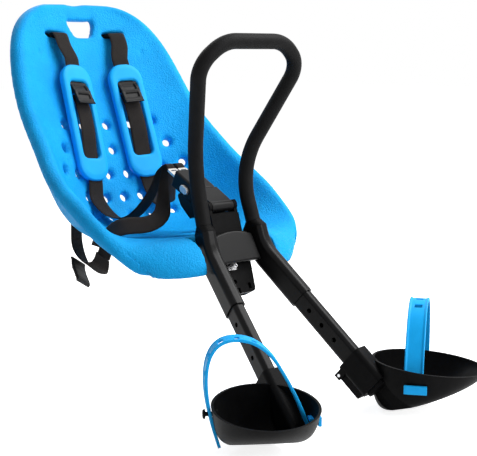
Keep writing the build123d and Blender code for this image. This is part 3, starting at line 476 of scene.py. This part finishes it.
def fuller_bucket(mesh):
    """Moves the foam's points by the rows above."""
    count = len(RIM_ROWS)
    places = np.linspace(0, count - 1, (count - 1) * STATION_STEPS + 1)
    rows = np.array([np.interp(places, range(count), column) for column in RIM_ROWS.T]).T
    points = np.empty(3 * len(mesh.vertices))
    mesh.vertices.foreach_get("co", points)
    points = points.reshape(-1, 3)
    outward = np.abs(points[:, :1])
    share = np.clip(outward / rows[:, HALF_WIDTH], 0.0, 1.0) ** RIM_POWER
    miss = np.zeros(share.shape)
    for axis, middle, rim in ((1, MIDDLE_Y, RIM_Y), (2, MIDDLE_Z, RIM_Z)):
        station = rows[:, middle] * (1 - share) + rows[:, rim] * share
        miss += (points[:, axis:axis + 1] - station) ** 2
    nearest = miss.argmin(axis=1)
    row = rows[nearest]
    share = share[np.arange(len(points)), nearest]
    inner = 1 - share
    points[:, 0] -= np.sign(points[:, 0]) * row[:, DRAWN_IN] * share
    points[:, 1] += row[:, RIM_BACK] * share + row[:, MIDDLE_BACK] * inner
    sag = 4 * row[:, CORNER_SAG] * share * inner
    points[:, 2] += row[:, RIM_UP] * share + row[:, MIDDLE_UP] * inner - sag
    away = np.linalg.norm(points - HANDLE_MIDDLE, axis=1)
    near = np.clip((HANDLE_REACH[1] - away) / (HANDLE_REACH[1] - HANDLE_REACH[0]), 0.0, 1.0)
    points += HANDLE_MOVE * (near * near * (3 - 2 * near))[:, None]
    mesh.vertices.foreach_set("co", points.ravel())
    mesh.update()
    return mesh


bucket_mesh = fuller_bucket(softened_mesh("seat_shell", FOAM_VOXEL, FOAM_ROUNDS))
bucket = add_piece("foam_bucket", bucket_mesh, foam_skin, "seat")
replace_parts(bucket, "seat_shell")
print("foam bucket:", len(bucket.data.polygons), "faces")

# %% [markdown]
# A shoulder pad is a soft frame with round ends and a crowned face, threaded on the webbing. Its
# place is given by the two ends of its middle line. A pad could be placed by angles, but ends are
# easier to set against the photo. The webbing along the pad and its slider use the same frame.

# %% Pad frames
# the top and the low end of each pad, on its middle line
PAD_ENDS = {
    "left": (Vector((0.0420, 0.3045, 0.2940)), Vector((0.0420, 0.2415, 0.1320))),
    "right": (Vector((-0.0445, 0.3035, 0.2940)), Vector((-0.0510, 0.2420, 0.1320))),
}
PAD_TURN = {"left": Vector((0.985, -0.171, 0.0)), "right": Vector((0.985, 0.171, 0.0))}


def pad_frame(side):
    """Matrix of a pad: X across it, Y up along it, Z to the child."""
    top, low = PAD_ENDS[side]
    along = (top - low).normalized()
    across = (PAD_TURN[side] - along * PAD_TURN[side].dot(along)).normalized()
    frame_of_pad = Matrix((across, along, across.cross(along))).transposed().to_4x4()
    frame_of_pad.translation = (top + low) / 2
    return frame_of_pad


for side in SIDES:
    print("pad", side, "middle at", [round(c, 3) for c in pad_frame(side).translation])

# %% [markdown]
# The pad is made as rings round its window: the outer edge, the crown and the edge of the window,
# on the front and again on the back. A box with bevels could do, but rings give the crown its slope
# and the ends their round shape directly. The same remesh then melts the edges.

# %% Shoulder pads
PAD_VOXEL = 0.0011
PAD_ROUNDS = 5
# half width, half length, corner radius, shift up the pad, height over its middle
PAD_RINGS = [
    (0.0272, 0.0860, 0.0235, 0.0000, 0.0015),
    (0.0262, 0.0850, 0.0230, 0.0000, 0.0046),
    (0.0225, 0.0790, 0.0190, 0.0010, 0.0060),
    (0.0172, 0.0600, 0.0090, 0.0040, 0.0058),
    (0.0160, 0.0570, 0.0080, 0.0040, 0.0035),
    (0.0160, 0.0570, 0.0080, 0.0040, -0.0040),
    (0.0225, 0.0790, 0.0190, 0.0010, -0.0058),
    (0.0262, 0.0850, 0.0230, 0.0000, -0.0044),
]
CORNER_STEPS = 10


def rounded_outline(half_width, half_length, corner, rise):
    """Points round a rectangle with round corners, shifted up by a rise."""
    points = []
    for k, (sx, sy) in enumerate(((1, 1), (-1, 1), (-1, -1), (1, -1))):
        for step in range(CORNER_STEPS + 1):
            turn = math.pi / 2 * (k + step / CORNER_STEPS)
            x = sx * (half_width - corner) + corner * math.cos(turn)
            y = sy * (half_length - corner) + corner * math.sin(turn) + rise
            points.append((x, y))
    return points


def pad_mesh(side):
    """The rings joined into one closed form, melted, and put in its place."""
    shape = bmesh.new()
    rings = []
    for half_width, half_length, corner, rise, height in PAD_RINGS:
        outline = rounded_outline(half_width, half_length, corner, rise)
        rings.append([shape.verts.new((x, y, height)) for x, y in outline])
    for first, second in zip(rings, rings[1:] + rings[:1]):
        for k in range(len(first)):
            n = (k + 1) % len(first)
            shape.faces.new([first[k], first[n], second[n], second[k]])
    bmesh.ops.recalc_face_normals(shape, faces=shape.faces)
    mesh = even_mesh(new_mesh("pad", shape), PAD_VOXEL, PAD_ROUNDS)
    mesh.transform(pad_frame(side))
    return mesh


for side in SIDES:
    pad = add_piece(f"soft_pad_{side}", pad_mesh(side), pad_skin, "seat")
    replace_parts(pad, f"shoulder_pad_{side}")
    print("pad", side, len(pad.data.polygons), "faces")

# %% [markdown]
# Each strap is a band swept through a few points. At every point the row gives the band's place,
# the direction of its width, and the width, because the webbing twists on its way and is folded
# narrower where it meets a buckle tongue. A cloth simulation could lay the straps, but stiff
# webbing holds its line.

# %% Strap routes
WEB_WIDTH = 0.026
SLOT_ROUTE = [
    ((0.0524, 0.3525, 0.3307), (0.99, -0.12, 0.04), WEB_WIDTH),
    ((0.0502, 0.3359, 0.3372), (0.99, -0.12, 0.04), WEB_WIDTH),
    ((0.0491, 0.3265, 0.3376), (0.99, -0.12, 0.04), WEB_WIDTH),
    ((0.0485, 0.3170, 0.3220), (0.99, -0.14, 0.04), WEB_WIDTH),
]
# stops along a pad: how far up from its middle, and how far the band stands out
PAD_UPPER = [(0.0980, 0.0), (0.0860, 0.0), (0.0440, 0.0)]
PAD_LOWER = [
    (0.0410, 0.0), (0.0180, 0.0050), (-0.0150, 0.0050), (-0.0420, 0.0010), (-0.0860, 0.0),
]
HARNESS_LEFT_ROUTE = [
    ((0.0430, 0.2300, 0.1080), (0.99, 0.10, 0.00), WEB_WIDTH),
    ((0.0400, 0.2080, 0.0990), (0.97, 0.20, 0.10), WEB_WIDTH),
    ((0.0310, 0.1800, 0.1030), (0.93, 0.31, 0.21), 0.024),
    ((0.0210, 0.1620, 0.1300), (0.97, 0.20, 0.10), 0.019),
    ((0.0130, 0.1510, 0.1545), (1.00, 0.00, 0.00), 0.015),
    ((0.0086, 0.1330, 0.1614), (1.00, 0.00, 0.00), 0.013),
    ((0.0086, 0.1255, 0.1563), (1.00, 0.00, 0.00), 0.013),
]
HARNESS_RIGHT_ROUTE = [
    ((-0.0550, 0.2330, 0.1100), (0.98, 0.17, 0.00), WEB_WIDTH),
    ((-0.0520, 0.2120, 0.0915), (0.96, 0.20, -0.10), WEB_WIDTH),
    ((-0.0460, 0.1920, 0.0845), (0.92, 0.25, -0.20), WEB_WIDTH),
    ((-0.0370, 0.1750, 0.0890), (0.92, 0.25, -0.20), WEB_WIDTH),
    ((-0.0250, 0.1610, 0.1080), (0.96, 0.20, -0.10), 0.024),
    ((-0.0150, 0.1530, 0.1310), (0.98, 0.17, 0.00), 0.020),
    ((-0.0105, 0.1460, 0.1510), (1.00, 0.00, 0.00), 0.016),
    ((-0.0086, 0.1330, 0.1614), (1.00, 0.00, 0.00), 0.013),
    ((-0.0086, 0.1255, 0.1563), (1.00, 0.00, 0.00), 0.013),
]
LAP_ROUTE = [
    ((0.1190, 0.1325, 0.0450), (0.10, 0.99, 0.10), WEB_WIDTH),
    ((0.1103, 0.1312, 0.0674), (0.10, 0.99, 0.10), WEB_WIDTH),
    ((0.1057, 0.1305, 0.0795), (0.10, 0.99, 0.10), WEB_WIDTH),
    ((0.0930, 0.1180, 0.0865), (0.10, 0.75, 0.65), WEB_WIDTH),
    ((0.0640, 0.1070, 0.0880), (0.30, 0.75, 0.60), WEB_WIDTH),
    ((0.0370, 0.1130, 0.0970), (0.62, 0.72, 0.31), 0.023),
    ((0.0210, 0.1280, 0.1180), (0.95, 0.29, 0.10), 0.018),
    ((0.0115, 0.1375, 0.1410), (1.00, 0.00, 0.00), 0.015),
    ((0.0086, 0.1352, 0.1572), (1.00, 0.00, 0.00), 0.013),
    ((0.0086, 0.1266, 0.1541), (1.00, 0.00, 0.00), 0.013),
]
TAIL_ROUTE = [
    ((0.1190, 0.1325, 0.0480), (0.10, 0.99, 0.10), WEB_WIDTH),
    ((0.1180, 0.1390, 0.0350), (0.35, 0.75, 0.45), WEB_WIDTH),
    ((0.1140, 0.1520, 0.0290), (0.65, 0.35, 0.65), WEB_WIDTH),
    ((0.1140, 0.1700, 0.0290), (0.78, 0.05, 0.62), WEB_WIDTH),
    ((0.1150, 0.1860, 0.0390), (0.85, -0.20, 0.45), WEB_WIDTH),
    ((0.1150, 0.1970, 0.0570), (0.90, -0.35, 0.10), WEB_WIDTH),
    ((0.1120, 0.2020, 0.0860), (0.92, -0.38, -0.05), WEB_WIDTH),
]
print("routes:", len(LAP_ROUTE), "rows in a lap strap,", len(TAIL_ROUTE), "in its tail")

# %% [markdown]
# The shoulder slots, lap straps and tails are mirrored from side to side. The harness straps are
# not, because each hangs in its own way. A strap that runs along a pad takes those rows from the
# frame of the pad. Between the rows the band follows a curve that passes through all of them, so a
# row can be moved by itself.

# %% From rows to a curve
BAND_STEPS = 9


def mirrored(route):
    """The same route on the other side; the width direction keeps pointing to the child's left."""
    return [((-x, y, z), (dx, -dy, -dz), width) for (x, y, z), (dx, dy, dz), width in route]


def pad_rows(side, stops):
    """The stops along a pad as rows of a route."""
    frame_of_pad = pad_frame(side)
    across = tuple(frame_of_pad.col[0][:3])
    return [(tuple(frame_of_pad @ Vector((0.0, up, out))), across, WEB_WIDTH) for up, out in stops]


def smooth_rows(route):
    """Points between the rows, on a curve that passes through all of them."""
    rows = np.array([[*place, *across, width] for place, across, width in route])
    ends = np.vstack([2 * rows[0] - rows[1], rows, 2 * rows[-1] - rows[-2]])
    found = []
    for i in range(len(rows) - 1):
        a, b, c, d = ends[i:i + 4]
        for t in np.linspace(0.0, 1.0, BAND_STEPS, endpoint=i == len(rows) - 2):
            square = (2 * a - 5 * b + 4 * c - d) * t**2
            cube = (3 * b - a - 3 * c + d) * t**3
            found.append(0.5 * (2 * b + (c - a) * t + square + cube))
    return np.array(found)


print("steps from row to row:", BAND_STEPS)

# %% [markdown]
# The band is a closed ribbon, thinner at its edges, with a UV map in metres for the weave. A flat
# strip with a Solidify modifier is shorter to write, but is equally thick all over unless its
# points are weighted.

# %% Band sweep
BAND_THICK = 0.0016
BAND_LANES = 8
EDGE_THIN = 0.75
EDGE_POWER = 8


def webbing_strip(name, route):
    """A closed band with a UV map in metres: along the band and across it."""
    rows = smooth_rows(route)
    places = rows[:, :3]
    along = np.gradient(places, axis=0)
    along /= np.linalg.norm(along, axis=1)[:, None]
    across = rows[:, 3:6] - along * np.sum(rows[:, 3:6] * along, axis=1)[:, None]
    across /= np.linalg.norm(across, axis=1)[:, None]
    up = np.cross(along, across)
    travelled = np.concatenate([[0.0], np.cumsum(np.linalg.norm(np.diff(places, axis=0), axis=1))])
    shares = np.linspace(-0.5, 0.5, BAND_LANES + 1)
    edge = 1.0 - EDGE_THIN * np.abs(2 * shares) ** EDGE_POWER
    shape = bmesh.new()
    bands = shape.loops.layers.uv.new("band")
    rings = []
    for i, place in enumerate(places):
        width = rows[i, 6]
        ring = []
        for face, order in ((1, range(BAND_LANES + 1)), (-1, range(BAND_LANES, -1, -1))):
            for k in order:
                lift = up[i] * face * edge[k] * BAND_THICK / 2
                point = place + across[i] * shares[k] * width + lift
                ring.append((shape.verts.new(point), shares[k] * width))
        rings.append(ring)
    count = len(rings[0])
    for i in range(len(rings) - 1):
        for k in range(count):
            n = (k + 1) % count
            corners = [rings[i][k], rings[i][n], rings[i + 1][n], rings[i + 1][k]]
            face = shape.faces.new([corner[0] for corner in corners])
            face.smooth = True
            distances = (travelled[i], travelled[i], travelled[i + 1], travelled[i + 1])
            for loop, corner, distance in zip(face.loops, corners, distances):
                loop[bands].uv = (corner[1], distance)
    shape.faces.new([corner[0] for corner in rings[0]][::-1])
    shape.faces.new([corner[0] for corner in rings[-1]])
    bmesh.ops.recalc_face_normals(shape, faces=shape.faces)
    strip = add_piece(name, new_mesh(name, shape), webbing, "seat")
    print(name, round(float(travelled[-1]), 3), "m of webbing")
    return strip


print("band:", BAND_LANES, "lanes,", BAND_THICK * 1000, "mm thick")

# %% [markdown]
# Six straps replace their plain solids. The two tails of the lap straps, which hang in a loop under
# the seat, have no solid and are added.

# %% Webbing strips
STRIPS = {
    "shoulder_strap_left": SLOT_ROUTE + pad_rows("left", PAD_UPPER),
    "shoulder_strap_right": mirrored(SLOT_ROUTE) + pad_rows("right", PAD_UPPER),
    "harness_strap_left": pad_rows("left", PAD_LOWER) + HARNESS_LEFT_ROUTE,
    "harness_strap_right": pad_rows("right", PAD_LOWER) + HARNESS_RIGHT_ROUTE,
    "lap_strap_left": LAP_ROUTE,
    "lap_strap_right": mirrored(LAP_ROUTE),
}
for node, route in STRIPS.items():
    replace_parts(webbing_strip(f"woven_{node}", route), node)
webbing_strip("woven_lap_tail_left", TAIL_ROUTE)
webbing_strip("woven_lap_tail_right", mirrored(TAIL_ROUTE))

# %% [markdown]
# The sliders on the webbing are ladder locks: two arched rails, three cross bars with the band
# wound between them, and a lip that the thumb lifts. Blocks along the arch give the shape, and a
# fine remesh fuses them into one moulding. Booleans could join them as well, but would leave their
# edges sharp.

# %% Lock blocks
# stations of the arch: along the band, and up from it
LOCK_ARCH = [
    (-0.0140, 0.0020), (-0.0075, 0.0062), (0.0, 0.0090),
    (0.0070, 0.0108), (0.0130, 0.0122), (0.0180, 0.0150),
]
CUBE_FACES = [
    (0, 1, 3, 2), (4, 6, 7, 5), (0, 4, 5, 1),
    (2, 3, 7, 6), (0, 2, 6, 4), (1, 5, 7, 3),
]


def add_block(shape, left, right, start, end, thick):
    """A slanted block between two points (along, rise), from its left side to its right."""
    corners = []
    for x in (left, right):
        for along, rise in (start, end):
            for half in (-thick / 2, thick / 2):
                corners.append(shape.verts.new((x, along, rise + half)))
    for face in CUBE_FACES:
        shape.faces.new([corners[i] for i in face])


print("stations of a lock:", len(LOCK_ARCH))

# %% [markdown]
# A slider sits on each pad, where the shoulder strap ends, and another on each lap tail. They share
# one design, so the same code draws all four, each in a frame of its own.

# %% Ladder locks
LOCK_VOXEL = 0.0006
LOCK_ROUNDS = 5
LOCK_THICK = 0.0032
LOCK_RAIL = 0.0045
LOCK_BAR = 0.0052
LOCK_WEB = 0.0016
PAD_LOCK_WIDTH = 0.030
PAD_LOCK_UP = 0.042
# the lock on the left tail: its place, the direction of its width, and the width
TAIL_LOCK = ((0.1180, 0.1770, 0.0275), (0.80, -0.05, 0.60), 0.031)
TAIL_LOCKS = {"left": TAIL_LOCK, "right": mirrored([TAIL_LOCK])[0]}
TAIL_LOCK_ALONG = (0.0, -0.85, -0.53)


def lock_mesh(name, width):
    """Two rails and a thin web along the arch, with three cross bars and the lip on top."""
    shape = bmesh.new()
    outer = width / 2
    for start, end in zip(LOCK_ARCH[:-1], LOCK_ARCH[1:]):
        for left, right in ((-outer, LOCK_RAIL - outer), (outer - LOCK_RAIL, outer)):
            add_block(shape, left, right, start, end, LOCK_THICK)
        low_start = (start[0], start[1] - LOCK_WEB)
        low_end = (end[0], end[1] - LOCK_WEB)
        add_block(shape, -outer, outer, low_start, low_end, LOCK_WEB)
    for along, rise in LOCK_ARCH[::2]:
        bar_start = (along - LOCK_BAR / 2, rise)
        bar_end = (along + LOCK_BAR / 2, rise)
        add_block(shape, -outer, outer, bar_start, bar_end, LOCK_THICK)
    add_block(shape, -outer, outer, LOCK_ARCH[-2], LOCK_ARCH[-1], LOCK_THICK)
    bmesh.ops.recalc_face_normals(shape, faces=shape.faces)
    return even_mesh(new_mesh(name, shape), LOCK_VOXEL, LOCK_ROUNDS)


def add_lock(name, width, place, across, along):
    """A lock with its lip towards along, its arch standing up from the band."""
    along = Vector(along).normalized()
    across = Vector(across)
    across = (across - along * across.dot(along)).normalized()
    frame_of_lock = Matrix((across, along, across.cross(along))).transposed().to_4x4()
    frame_of_lock.translation = place
    mesh = lock_mesh(name, width)
    mesh.transform(frame_of_lock)
    return add_piece(name, mesh, buckle_plastic, "seat")


for side in SIDES:
    on_pad = pad_frame(side)
    pad_place = on_pad @ Vector((0.0, PAD_LOCK_UP, 0.0))
    pad_across, pad_along = -on_pad.col[0].xyz, -on_pad.col[1].xyz
    lock = add_lock(f"ladder_lock_{side}", PAD_LOCK_WIDTH, pad_place, pad_across, pad_along)
    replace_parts(lock, f"strap_adjuster_{side}")
    tail_place, tail_across, tail_width = TAIL_LOCKS[side]
    add_lock(f"tail_lock_{side}", tail_width, tail_place, tail_across, TAIL_LOCK_ALONG)
    print("lock on pad", side, len(lock.data.polygons), "faces")

# %% [markdown]
# A foot strap is a moulded rubber band that stands in an arch over the cup. It leaves from a cross
# tab behind the cup's wall and comes down on the side of the stud. Its line is a NURBS curve in the
# plane of the arch, shaped by a few control points. Part of a circle would be simpler, but this
# arch is steeper on its outer side.

# %% Arch of the foot strap
ARCH_MIDDLE = Vector((0.1341, -0.1922, -0.0750))
ARCH_OUTER = Vector((0.8192, 0.5736, 0.0))
ARCH_TOE = Vector((0.5736, -0.8192, 0.0))
ARCH_UP = Vector((0.0, 0.0, 1.0))
ARCH_STEPS = 24
# control points of the arch: outward from its middle, and up
ARCH_ROUTE = [
    (-0.047, -0.024), (-0.034, 0.012), (0.004, 0.073),
    (0.060, 0.074), (0.069, 0.008), (0.050, -0.050),
]


def arch_point(outward, up, along_toe):
    """A place in metres from the arch's own three directions."""
    return ARCH_MIDDLE + ARCH_OUTER * outward + ARCH_UP * up + ARCH_TOE * along_toe


def arch_curve():
    """Points read from a smooth curve that has the route as its control points."""
    curve = bpy.data.curves.new("arch", "CURVE")
    curve.resolution_u = ARCH_STEPS
    spline = curve.splines.new("NURBS")
    spline.points.add(len(ARCH_ROUTE) - 1)
    for point, (outward, up) in zip(spline.points, ARCH_ROUTE):
        point.co = (outward, up, 0.0, 1.0)
    spline.order_u = 3
    spline.use_endpoint_u = True
    holder = bpy.data.objects.new("arch", curve)
    scene.collection.objects.link(holder)
    return np.array([vertex.co[:2] for vertex in shown_mesh(holder).vertices])


arch_line = arch_curve()
print("points along the arch:", len(arch_line))

# %% [markdown]
# The band has a raised border along both edges and tapers to its free end. Its section is swept
# along the arch in rings, as for the webbing. A curve with a bevel object could sweep it too, but
# its taper would thin the band as well as narrow it.

# %% Foot strap band
STRAP_HALF = 0.012
STRAP_BACK = -0.004
# the band's section: share of its half width, and height
STRAP_SECTION = [
    (-1.0, -0.0015), (1.0, -0.0015), (1.0, 0.0023), (0.83, 0.0023),
    (0.75, 0.0013), (-0.75, 0.0013), (-0.83, 0.0023), (-1.0, 0.0023),
]
TAPER_LENGTH = 0.030
TAPER_LEFT = 0.35

arch_along = np.gradient(arch_line, axis=0)
arch_along /= np.linalg.norm(arch_along, axis=1)[:, None]
arch_normal = np.stack([-arch_along[:, 1], arch_along[:, 0]], axis=1)
arch_steps = np.linalg.norm(np.diff(arch_line, axis=0), axis=1)
arch_travelled = np.concatenate([[0.0], np.cumsum(arch_steps)])


def strap_band():
    """The plain band along the arch, as a closed mesh."""
    band = bmesh.new()
    rings = []
    for i, place in enumerate(arch_line):
        to_end = (arch_travelled[-1] - arch_travelled[i]) / TAPER_LENGTH
        taper = min(1.0, TAPER_LEFT + (1 - TAPER_LEFT) * to_end)
        ring = []
        for wide, rise in STRAP_SECTION:
            flat = place + arch_normal[i] * rise
            toe = STRAP_BACK + wide * STRAP_HALF * taper
            ring.append(band.verts.new(arch_point(flat[0], flat[1], toe)))
        rings.append(ring)
    for first, second in zip(rings[:-1], rings[1:]):
        for k in range(len(first)):
            n = (k + 1) % len(first)
            band.faces.new([first[k], first[n], second[n], second[k]])
    band.faces.new(rings[0][::-1])
    band.faces.new(rings[-1])
    bmesh.ops.recalc_face_normals(band, faces=band.faces)
    return new_mesh("band", band)


print("foot strap:", round(float(arch_travelled[-1]), 3), "m along its arch")

# %% [markdown]
# A row of slots lets the strap be set on its stud. They are cut with a Boolean, because they are
# plain holes with straight sides. The cross tab is two boxes. The remesh joins them on, and rounds
# every edge as rubber has it.

# %% Slots and tab
STRAP_VOXEL = 0.0007
STRAP_ROUNDS = 4
STRAP_SLOTS = (0.40, 0.47, 0.54, 0.61, 0.68, 0.75)
SLOT_HALVES = (0.0028, 0.008, 0.0050)
# the tab's neck and cross bar: middle in the arch's plane, and half sizes
STRAP_TAB = [
    ((-0.0560, -0.020), (0.0060, 0.0020, 0.007)),
    ((-0.0606, -0.020), (0.0020, 0.0055, 0.014)),
]
FLAT_OUT = np.array((1.0, 0.0))
FLAT_UP = np.array((0.0, 1.0))


def add_box(shape, middle, outward, up, halves, toe=0.0):
    """A box in the arch's plane; outward and up are its own directions there."""
    corners = []
    for a in (-halves[0], halves[0]):
        for b in (-halves[1], halves[1]):
            for c in (-halves[2], halves[2]):
                flat = middle + outward * a + up * b
                corners.append(shape.verts.new(arch_point(flat[0], flat[1], toe + c)))
    for face in CUBE_FACES:
        shape.faces.new([corners[i] for i in face])
    bmesh.ops.recalc_face_normals(shape, faces=shape.faces)


def foot_strap_mesh():
    """The band with its slots cut, and the tab joined on."""
    slots = bmesh.new()
    for share in STRAP_SLOTS:
        i = int(np.searchsorted(arch_travelled, share * arch_travelled[-1]))
        add_box(slots, arch_line[i], arch_along[i], arch_normal[i], SLOT_HALVES, STRAP_BACK)
    cutter = bpy.data.objects.new("slots", new_mesh("slots", slots))
    holder = bpy.data.objects.new("band", strap_band())
    for item in (cutter, holder):
        scene.collection.objects.link(item)
    cut = holder.modifiers.new("cut_slots", "BOOLEAN")
    cut.operation = "DIFFERENCE"
    cut.object = cutter
    cut_band = shown_mesh(holder)
    bpy.data.objects.remove(cutter)
    whole = bmesh.new()
    whole.from_mesh(cut_band)
    for middle, halves in STRAP_TAB:
        add_box(whole, np.array(middle), FLAT_OUT, FLAT_UP, halves)
    return even_mesh(new_mesh("foot_strap", whole), STRAP_VOXEL, STRAP_ROUNDS)


print("slots in a foot strap:", len(STRAP_SLOTS))

# %% [markdown]
# The strap is rubber and holds this arch by itself, so nothing is simulated. Each strap slides with
# its own footrest. The one on the right is a mirrored copy, with its faces turned back to point
# outwards.

# %% Foot straps
left_strap = foot_strap_mesh()
right_strap = left_strap.copy()
right_strap.transform(Matrix.Diagonal((-1.0, 1.0, 1.0, 1.0)))
right_strap.flip_normals()
for side, mesh in (("left", left_strap), ("right", right_strap)):
    strap = add_piece(f"rubber_strap_{side}", mesh, strap_rubber, f"footrest_{side}")
    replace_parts(strap, f"footrest_strap_{side}")
    print("foot strap", side, len(mesh.polygons), "faces")

# %% [markdown]
# A small coil spring behind the cover pushes the latch bolt home. It is one helix of round wire, as
# long as its plain solid.

# %% Place of the latch spring
COIL_WIRE = 0.0004
LATCH_DRAW = Vector((0.0, -0.891007, 0.45399))
spring_node = nodes["latch_spring"]
spring_points = [spring_node.matrix_world @ vertex.co for vertex in spring_node.data.vertices]
spring_reach = [point.dot(LATCH_DRAW) for point in spring_points]
coil_length = max(spring_reach) - min(spring_reach)
low_corner = Vector([min(point[k] for point in spring_points) for k in range(3)])
high_corner = Vector([max(point[k] for point in spring_points) for k in range(3)])
coil_middle = (low_corner + high_corner) / 2
coil_radius = (high_corner.x - low_corner.x) / 2 - COIL_WIRE
print("latch spring:", round(coil_length * 1000, 1), "mm long")

# %% [markdown]
# The helix is a poly curve with a round bevel, a short way to a wire of one thickness. A Screw
# modifier could wind it too, but would need a profile and an axis of its own.

# %% Latch coil
COIL_TURNS = 6
COIL_STEPS = 20
coil_side = Vector((1.0, 0.0, 0.0))
coil_lift = LATCH_DRAW.cross(coil_side)
coil_curve = bpy.data.curves.new("coil", "CURVE")
coil_curve.dimensions = "3D"
coil_curve.bevel_depth = COIL_WIRE
coil_curve.bevel_resolution = 3
coil_curve.use_fill_caps = True
coil_line = coil_curve.splines.new("POLY")
coil_line.points.add(COIL_TURNS * COIL_STEPS)
for k, point in enumerate(coil_line.points):
    turn = 2 * math.pi * k / COIL_STEPS
    along_coil = (k / (COIL_TURNS * COIL_STEPS) - 0.5) * (coil_length - 2 * COIL_WIRE)
    round_coil = (coil_side * math.cos(turn) + coil_lift * math.sin(turn)) * coil_radius
    point.co = (coil_middle + LATCH_DRAW * along_coil + round_coil).to_4d()
coil_holder = bpy.data.objects.new("coil", coil_curve)
scene.collection.objects.link(coil_holder)
coil = add_piece("latch_coil", shown_mesh(coil_holder), bright_steel, "seat")
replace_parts(coil, "latch_spring")
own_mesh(coil)
print("latch coil:", COIL_TURNS, "turns")

# %% [markdown]
# The rest of the solids keep their shape and only need a finish, so each gets a material and
# nothing else. The list names every one of them, so that nothing is left in a plain colour. A name
# without a side stands for both sides.

# %% Finishes for the solids
FINISHES = {
    grained_plastic: ["console_body", "crotch_anchor", "grip_collar", "leg_end_cap", "footrest_cup",
                      "release_lever", "strap_stud", "anchor_pin"],
    satin_plastic: ["console_cover"],
    buckle_plastic: ["strap_retainer", "lap_adjuster", "buckle_body", "crotch_post"],
    powder_coat: ["grab_bar_tube", "upper_leg", "lower_leg", "leg_bolt"],
    grip_rubber: ["grab_bar_grip"],
    dull_steel: ["buckle_tongue", "buckle_button"],
    bright_steel: ["latch_bolt", "seat_bolts", "button_spring", "lever_pin", "lever_spring"],
}
painted = 0
for finish, names in FINISHES.items():
    for name in names:
        for node in [name] + [f"{name}_{side}" for side in SIDES]:
            if node in nodes:
                nodes[node].data.materials.clear()
                nodes[node].data.materials.append(finish)
                painted += 1
print("solids with a finish:", painted)
